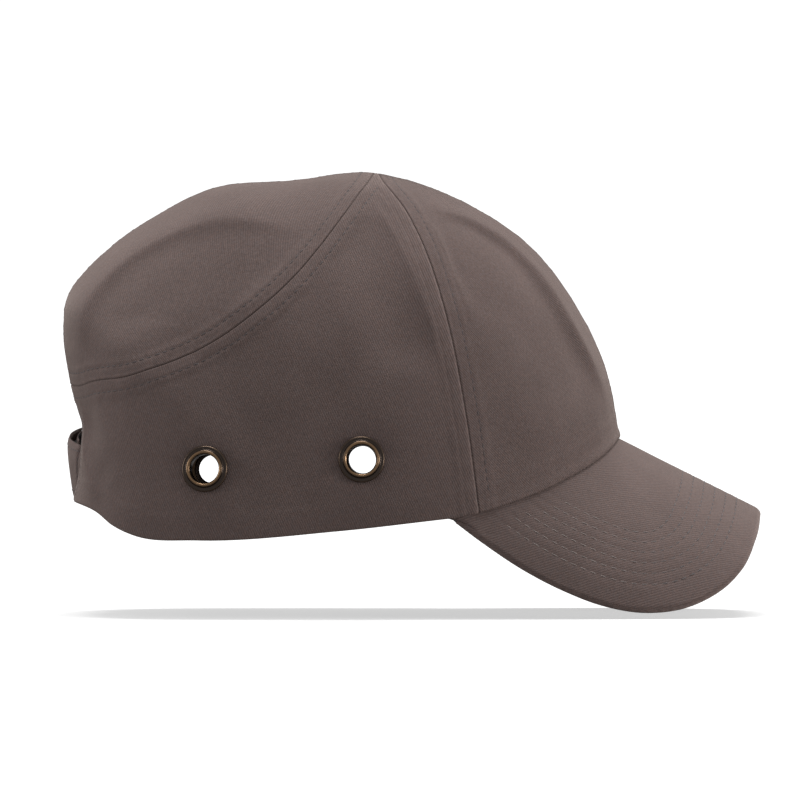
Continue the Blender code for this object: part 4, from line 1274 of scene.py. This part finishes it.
def make_shell():
    rows, columns = 90, 220
    surface = shell_surface(rows, columns)
    surface[0] = surface[0].mean(axis=0)
    normal = outward(surface)
    depth = shell_depth(surface)
    down = np.linspace(0.0, 1.0, rows)[:, None]
    bead = 0.0004 * hill(down, 0.985, 0.012)
    rim = SHELL / 2 * np.clip((down - 0.992) / 0.008, 0.0, 1.0) ** 2
    outer = off(surface, normal, -(depth - bead + rim))
    inner = off(surface, normal, -(depth + SHELL + bead - rim))
    below = [face[1:].reshape(-1, 3) for face in (outer, inner)]
    points = np.concatenate([*below, [outer[0, 0], inner[0, 0]]])
    total = (rows - 1) * columns
    index = np.arange(total).reshape(rows - 1, columns)
    faces = []
    for face, apex in ((index, 2 * total), (index + total, 2 * total + 1)):
        first = face[0]
        faces += quads(face, wrap=True).tolist()
        faces += np.stack([np.full(columns, apex), first, np.roll(first, -1)], axis=1).tolist()
    faces += quads(np.stack([index[-1], index[-1] + total]), wrap=True).tolist()
    shell = build("shell", points, faces, ABS)
    for place, along, length in shell_slots():
        spot = on_crown(np.array([place]))[0]
        z_axis, x_axis = Vector(outward(spot)), Vector(along)
        x_axis = (x_axis - x_axis.dot(z_axis) * z_axis).normalized()
        turn = Matrix((x_axis, z_axis.cross(x_axis), z_axis)).transposed().to_4x4()
        matrix = Matrix.Translation(Vector(spot)) @ turn
        punch_out(shell, matrix, SLOT_RADIUS, SLOT_PUNCH, 32, length)
    settle(shell, "liner", "abs", "impact_shell")


def close_middle(pad, columns, total):
    """Fills the two faces of a round pad across, in place of the wall between their first rows."""
    bm = bmesh.new()
    bm.from_mesh(pad.data)
    wall = []
    for face in bm.faces:
        numbers = [vertex.index for vertex in face.verts]
        if sum(number < columns for number in numbers) >= 2 and max(numbers) >= total:
            wall.append(face)
    bmesh.ops.delete(bm, geom=wall, context="FACES_ONLY")
    bmesh.ops.holes_fill(bm, edges=[edge for edge in bm.edges if edge.is_boundary], sides=0)
    bmesh.ops.recalc_face_normals(bm, faces=bm.faces)
    bm.to_mesh(pad.data)
    bm.free()


def make_pads():
    """Die-cut foam pads, as thick as the CAD's, with pressed-down edges."""
    fine = 6  # rows and columns to each of the CAD's
    rows, columns = CAD_ROWS * fine + 1, CAD_COLUMNS * fine
    surface = shell_surface(rows, columns)
    for name, (top, bottom), (first, last) in (
        ("crown", (0, 4), (0, 36)),
        ("front", (6, 10), (14, 22)),
        ("rear", (6, 10), (-4, 4)),
        ("side_right", (7, 10), (6, 12)),
        ("side_left", (7, 10), (24, 30)),
    ):
        whole = last - first == CAD_COLUMNS
        picked = np.arange(first * fine, last * fine + (not whole)) % columns
        chosen = surface[top * fine + whole : bottom * fine + 1][:, picked]
        normal = outward(chosen)
        depth = shell_depth(chosen) + SHELL + PAD_GAP
        border = [chosen[-1]] if whole else [chosen[-1], chosen[0], chosen[:, 0], chosen[:, -1]]
        edge = gap_to([Guide(line, count=400) for line in border], chosen)
        swell = np.sqrt(1 - (1 - np.clip(edge / 0.0045, 0.0, 1.0)) ** 2)
        thick = PAD * (0.16 + 0.84 * swell) + 0.0003 * perlin(chosen, 0.02, 4.4)
        outer, inner = off(chosen, normal, -depth), off(chosen, normal, -(depth + thick))
        pad = closed_sheet(f"pad_{name}", outer, inner, FOAM, wrap=whole)
        if whole:
            close_middle(pad, columns, outer.shape[0] * columns)
        kind, _, side = name.partition("_")
        settle(pad, "liner", "foam", f"{kind}_pad" + (f"_{side}" if side else ""))


# ---------------------------------------------------------------- closure
def strap_point(y, z, radius=STRAP_RADIUS):
    """A point of the closure's arc: drawn in at its foot, and rising towards the wearer's left."""
    share = (z - STRAP_BOTTOM_Z) / (STRAP_TOP_Z - STRAP_BOTTOM_Z)
    radius = radius + STRAP_SLACK - STRAP_LEAN * smoothstep(0.8, 0.0, share)
    rise = STRAP_RISE_BOTTOM + (STRAP_RISE_TOP - STRAP_RISE_BOTTOM) * share
    z = z + STRAP_SLACK * 1.5 * share + y * rise
    return xyz(STRAP_AXIS_X - np.sqrt(radius**2 - y**2), y, z)


def from_axis(points):
    """Level lines out to points from the axis of the closure's arc."""
    return (points - (STRAP_AXIS_X, 0.0, 0.0)) * (1, 1, 0)


def root_seam(z):
    return np.interp(z, (STRAP_BOTTOM_Z, STRAP_TOP_Z), ROOT_SEAM_Y)


def strap_sheet(
    name, left, right, inset, radius, thickness, material, lining=None, puff=0.0, columns=90
):
    """A soft strap on the closure's arc. Its ends are (bottom, top) pairs."""
    u = np.linspace(0.0, 1.0, columns)[None]
    v = np.linspace(0.0, 1.0, 26)[:, None]
    low, high = STRAP_BOTTOM_Z + inset, STRAP_TOP_Z - inset
    start, stop = (end[0] + (end[1] - end[0]) * v for end in (left, right))
    y, z = start + (stop - start) * u, low * (1 - v) + high * v
    base = strap_point(y, z, radius)
    out = from_axis(base) / radius
    width = (stop - start).mean()
    near = np.minimum(np.minimum(u, 1 - u) * width, np.minimum(v, 1 - v) * (high - low))
    relief = 0.00035 * smoothstep(0.0, 0.003, near) - 0.00018 * hill(near, 0.0030, 0.0006)
    relief = puff * (relief + 0.00022 * perlin(base, 0.009, 6.2))
    # The seam that holds the root is pulled down into the cloth, and painted darker there as shade in
    # its groove.
    pressed = hill(y, root_seam(z), 0.0010) * (name == "closure_strap")
    thinned = 0.35 * thickness * hill(near, 0.0, 0.0007)
    outer = off(base, out, relief - 0.0005 * pressed - thinned)
    inner = off(base, out, thinned - thickness)
    uv = np.stack(np.broadcast_arrays(y, z), axis=2)
    values = {"edge": near + 0.0006, "lip": -0.8 * pressed}
    return closed_sheet(name, outer, inner, material, uv, values, lining)


def strap_row(y, z):
    points = strap_point(y, z)
    out = unit(from_axis(points))
    return points + out * 0.0003, out


def make_closure():
    hook = strap_sheet(
        "closure_strap", (ROOT_END_Y, ROOT_END_Y), (TAIL_END_BOTTOM_Y, TAIL_END_TOP_Y), 0.0,
        STRAP_RADIUS, STRAP, TWILLS["front"], TWILL_PLAIN, puff=1.0, columns=180,
    )
    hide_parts("hook_strap_root", "hook_strap_tail")
    rows = []
    for share in (0.12, 0.88):
        y = np.linspace(-0.0285, 0.0165 + 0.011 * share, 160)
        rows.append(strap_row(y, STRAP_BOTTOM_Z + (STRAP_TOP_Z - STRAP_BOTTOM_Z) * share))
    edging = stitches("stitching_strap", rows, THREAD_DARK, None)
    # The stretch across the fold line is worked out for both, and both have their placing baked into
    # their meshes; neither is bent.
    fold_z = np.array([STRAP_BOTTOM_Z, STRAP_TOP_Z])
    fold = strap_point(np.array([FOLD_BOTTOM_Y, FOLD_TOP_Y]), fold_z)
    middle = fold.mean(axis=0)
    across = unit(np.cross(fold[1] - fold[0], from_axis(middle)))
    across *= np.sign(across[1]) * BEND_HALF_WIDTH
    for soft in (hook, edging):
        start, end = tuple(middle - across), tuple(middle + across)
        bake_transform(soft)
        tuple(start)
        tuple(end)
    z = np.linspace(STRAP_BOTTOM_Z + 0.0006, STRAP_TOP_Z - 0.0012, 90)
    row, size = strap_row(root_seam(z), z), {"pitch": 0.0026, "length": 0.0022}
    stitches("stitching_strap_root", [row], THREAD_DARK, "cap", **size)

    inset = 0.003  # of the patches from the straps' edges
    hook_radius = STRAP_RADIUS - STRAP - GAP
    loop_radius = hook_radius - PATCH - GAP
    left = FOLD_BOTTOM_Y + 0.0045, FOLD_TOP_Y + 0.0075
    right = TAIL_END_BOTTOM_Y - inset, TAIL_END_TOP_Y - inset
    hooks = strap_sheet("closure_hooks", left, right, inset, hook_radius, PATCH, HOOKS)
    settle(hooks, "strap_tail", "hook_and_loop", "hook_patch")
    left, right = (LOOP_END_Y + inset,) * 2, (0.024, 0.030)
    loops = strap_sheet("closure_loops", left, right, inset, loop_radius, PATCH, LOOPS)
    settle(loops, "cap", "hook_and_loop", "loop_patch")
    under = strap_sheet(
        "closure_under_strap", (LOOP_END_Y, LOOP_END_Y), (LOOP_ROOT_Y, LOOP_ROOT_Y), 0.0,
        loop_radius - PATCH - GAP, STRAP, TWILLS["front"], TAPE_BLACK, puff=0.4, columns=130,
    )
    settle(under, "cap", "twill", "loop_strap")


# ---------------------------------------------------------------- stage
def make_stage():
    """A pale floor that looks white wherever it is lit, and throws little light back up."""
    bpy.ops.mesh.primitive_plane_add(size=60.0, location=(0.0, 0.0, FLOOR_Z))
    floor = bpy.context.object
    floor.name = "floor"
    floor.rotation_euler = (FLOOR_TILT, 0.0, 0.0)
    s = Shader("floor")
    s.tree.nodes.remove(s.bsdf)
    seen = s.node("ShaderNodeBsdfDiffuse", {"Color": (0.62, 0.62, 0.62, 1.0)})
    glow = s.node("ShaderNodeEmission", {"Strength": 0.555})
    bounce = s.node("ShaderNodeBsdfDiffuse", {"Color": (0.24, 0.235, 0.23, 1.0)})
    bright = s.node("ShaderNodeAddShader", {0: seen.outputs[0], 1: glow.outputs[0]})
    camera_ray = s.node("ShaderNodeLightPath").outputs["Is Camera Ray"]
    mixed = {0: camera_ray, 1: bounce.outputs[0], 2: bright.outputs[0]}
    mixed = s.node("ShaderNodeMixShader", mixed).outputs[0]
    s.put(s.tree.nodes["Material Output"].inputs["Surface"], mixed)
    floor.data.materials.append(s.material)


def aim(obj, place, target):
    obj.location = place
    obj.rotation_euler = (Vector(target) - Vector(place)).to_track_quat("-Z", "Y").to_euler()


def area_light(name, place, target, size, power, colour=(1, 1, 1)):
    data = bpy.data.lights.new(name, "AREA")
    data.shape, data.size, data.size_y = "RECTANGLE", size[0], size[1]
    data.energy, data.color = power, colour
    light = link(bpy.data.objects.new(name, data))
    light.visible_camera = False
    aim(light, place, target)


def make_lights():
    world = bpy.data.worlds.new("studio")
    bpy.context.scene.world = world
    world.use_nodes = True
    tree = world.node_tree
    path = tree.nodes.new("ShaderNodeLightPath")
    strength = tree.nodes.new("ShaderNodeMapRange")
    strength.inputs["To Min"].default_value = WORLD_LIGHT
    strength.inputs["To Max"].default_value = WORLD_SEEN
    tree.links.new(path.outputs["Is Camera Ray"], strength.inputs["Value"])
    background = tree.nodes["Background"]
    background.inputs["Color"].default_value = (1, 1, 1, 1)
    tree.links.new(strength.outputs["Result"], background.inputs["Strength"])

    sun = bpy.data.lights.new("top", "SUN")
    sun.energy, sun.angle = SUN_STRENGTH, SUN_SPREAD
    link(bpy.data.objects.new("top", sun)).rotation_euler = (SUN_LEAN, 0, 0)
    area_light("front", (1.6, -0.40, 0.06), (0.05, 0, 0.07), (0.8, 0.6), 15.0, (1.0, 0.98, 0.96))
    area_light("rear", (-1.6, -0.05, 0.4), (-0.08, 0, 0.08), (0.7, 0.7), 5.5)


def make_camera():
    """Level with the eyelets, so that both sides' holes line up."""
    camera = bpy.data.cameras.new("camera")
    camera.sensor_width = 36.0
    camera.lens = camera.sensor_width * CAMERA_DISTANCE / PICTURE_WIDTH
    camera.clip_end = 100.0
    eye = link(bpy.data.objects.new("camera", camera))
    aim(eye, (CAMERA_X, -CAMERA_DISTANCE, CAMERA_Z), (CAMERA_X, 0.0, AIM_Z))
    bpy.context.scene.camera = eye


for make in (
    make_panels, make_topstitching, make_visor, make_tapes, make_sweatband, make_arch_edge,
    make_eyelets, make_shell, make_pads, make_closure, make_board, make_stage, make_lights,
    make_camera,
):
    make()

bpy.context.scene.view_settings.view_transform = "Standard"
bpy.context.view_layer.update()
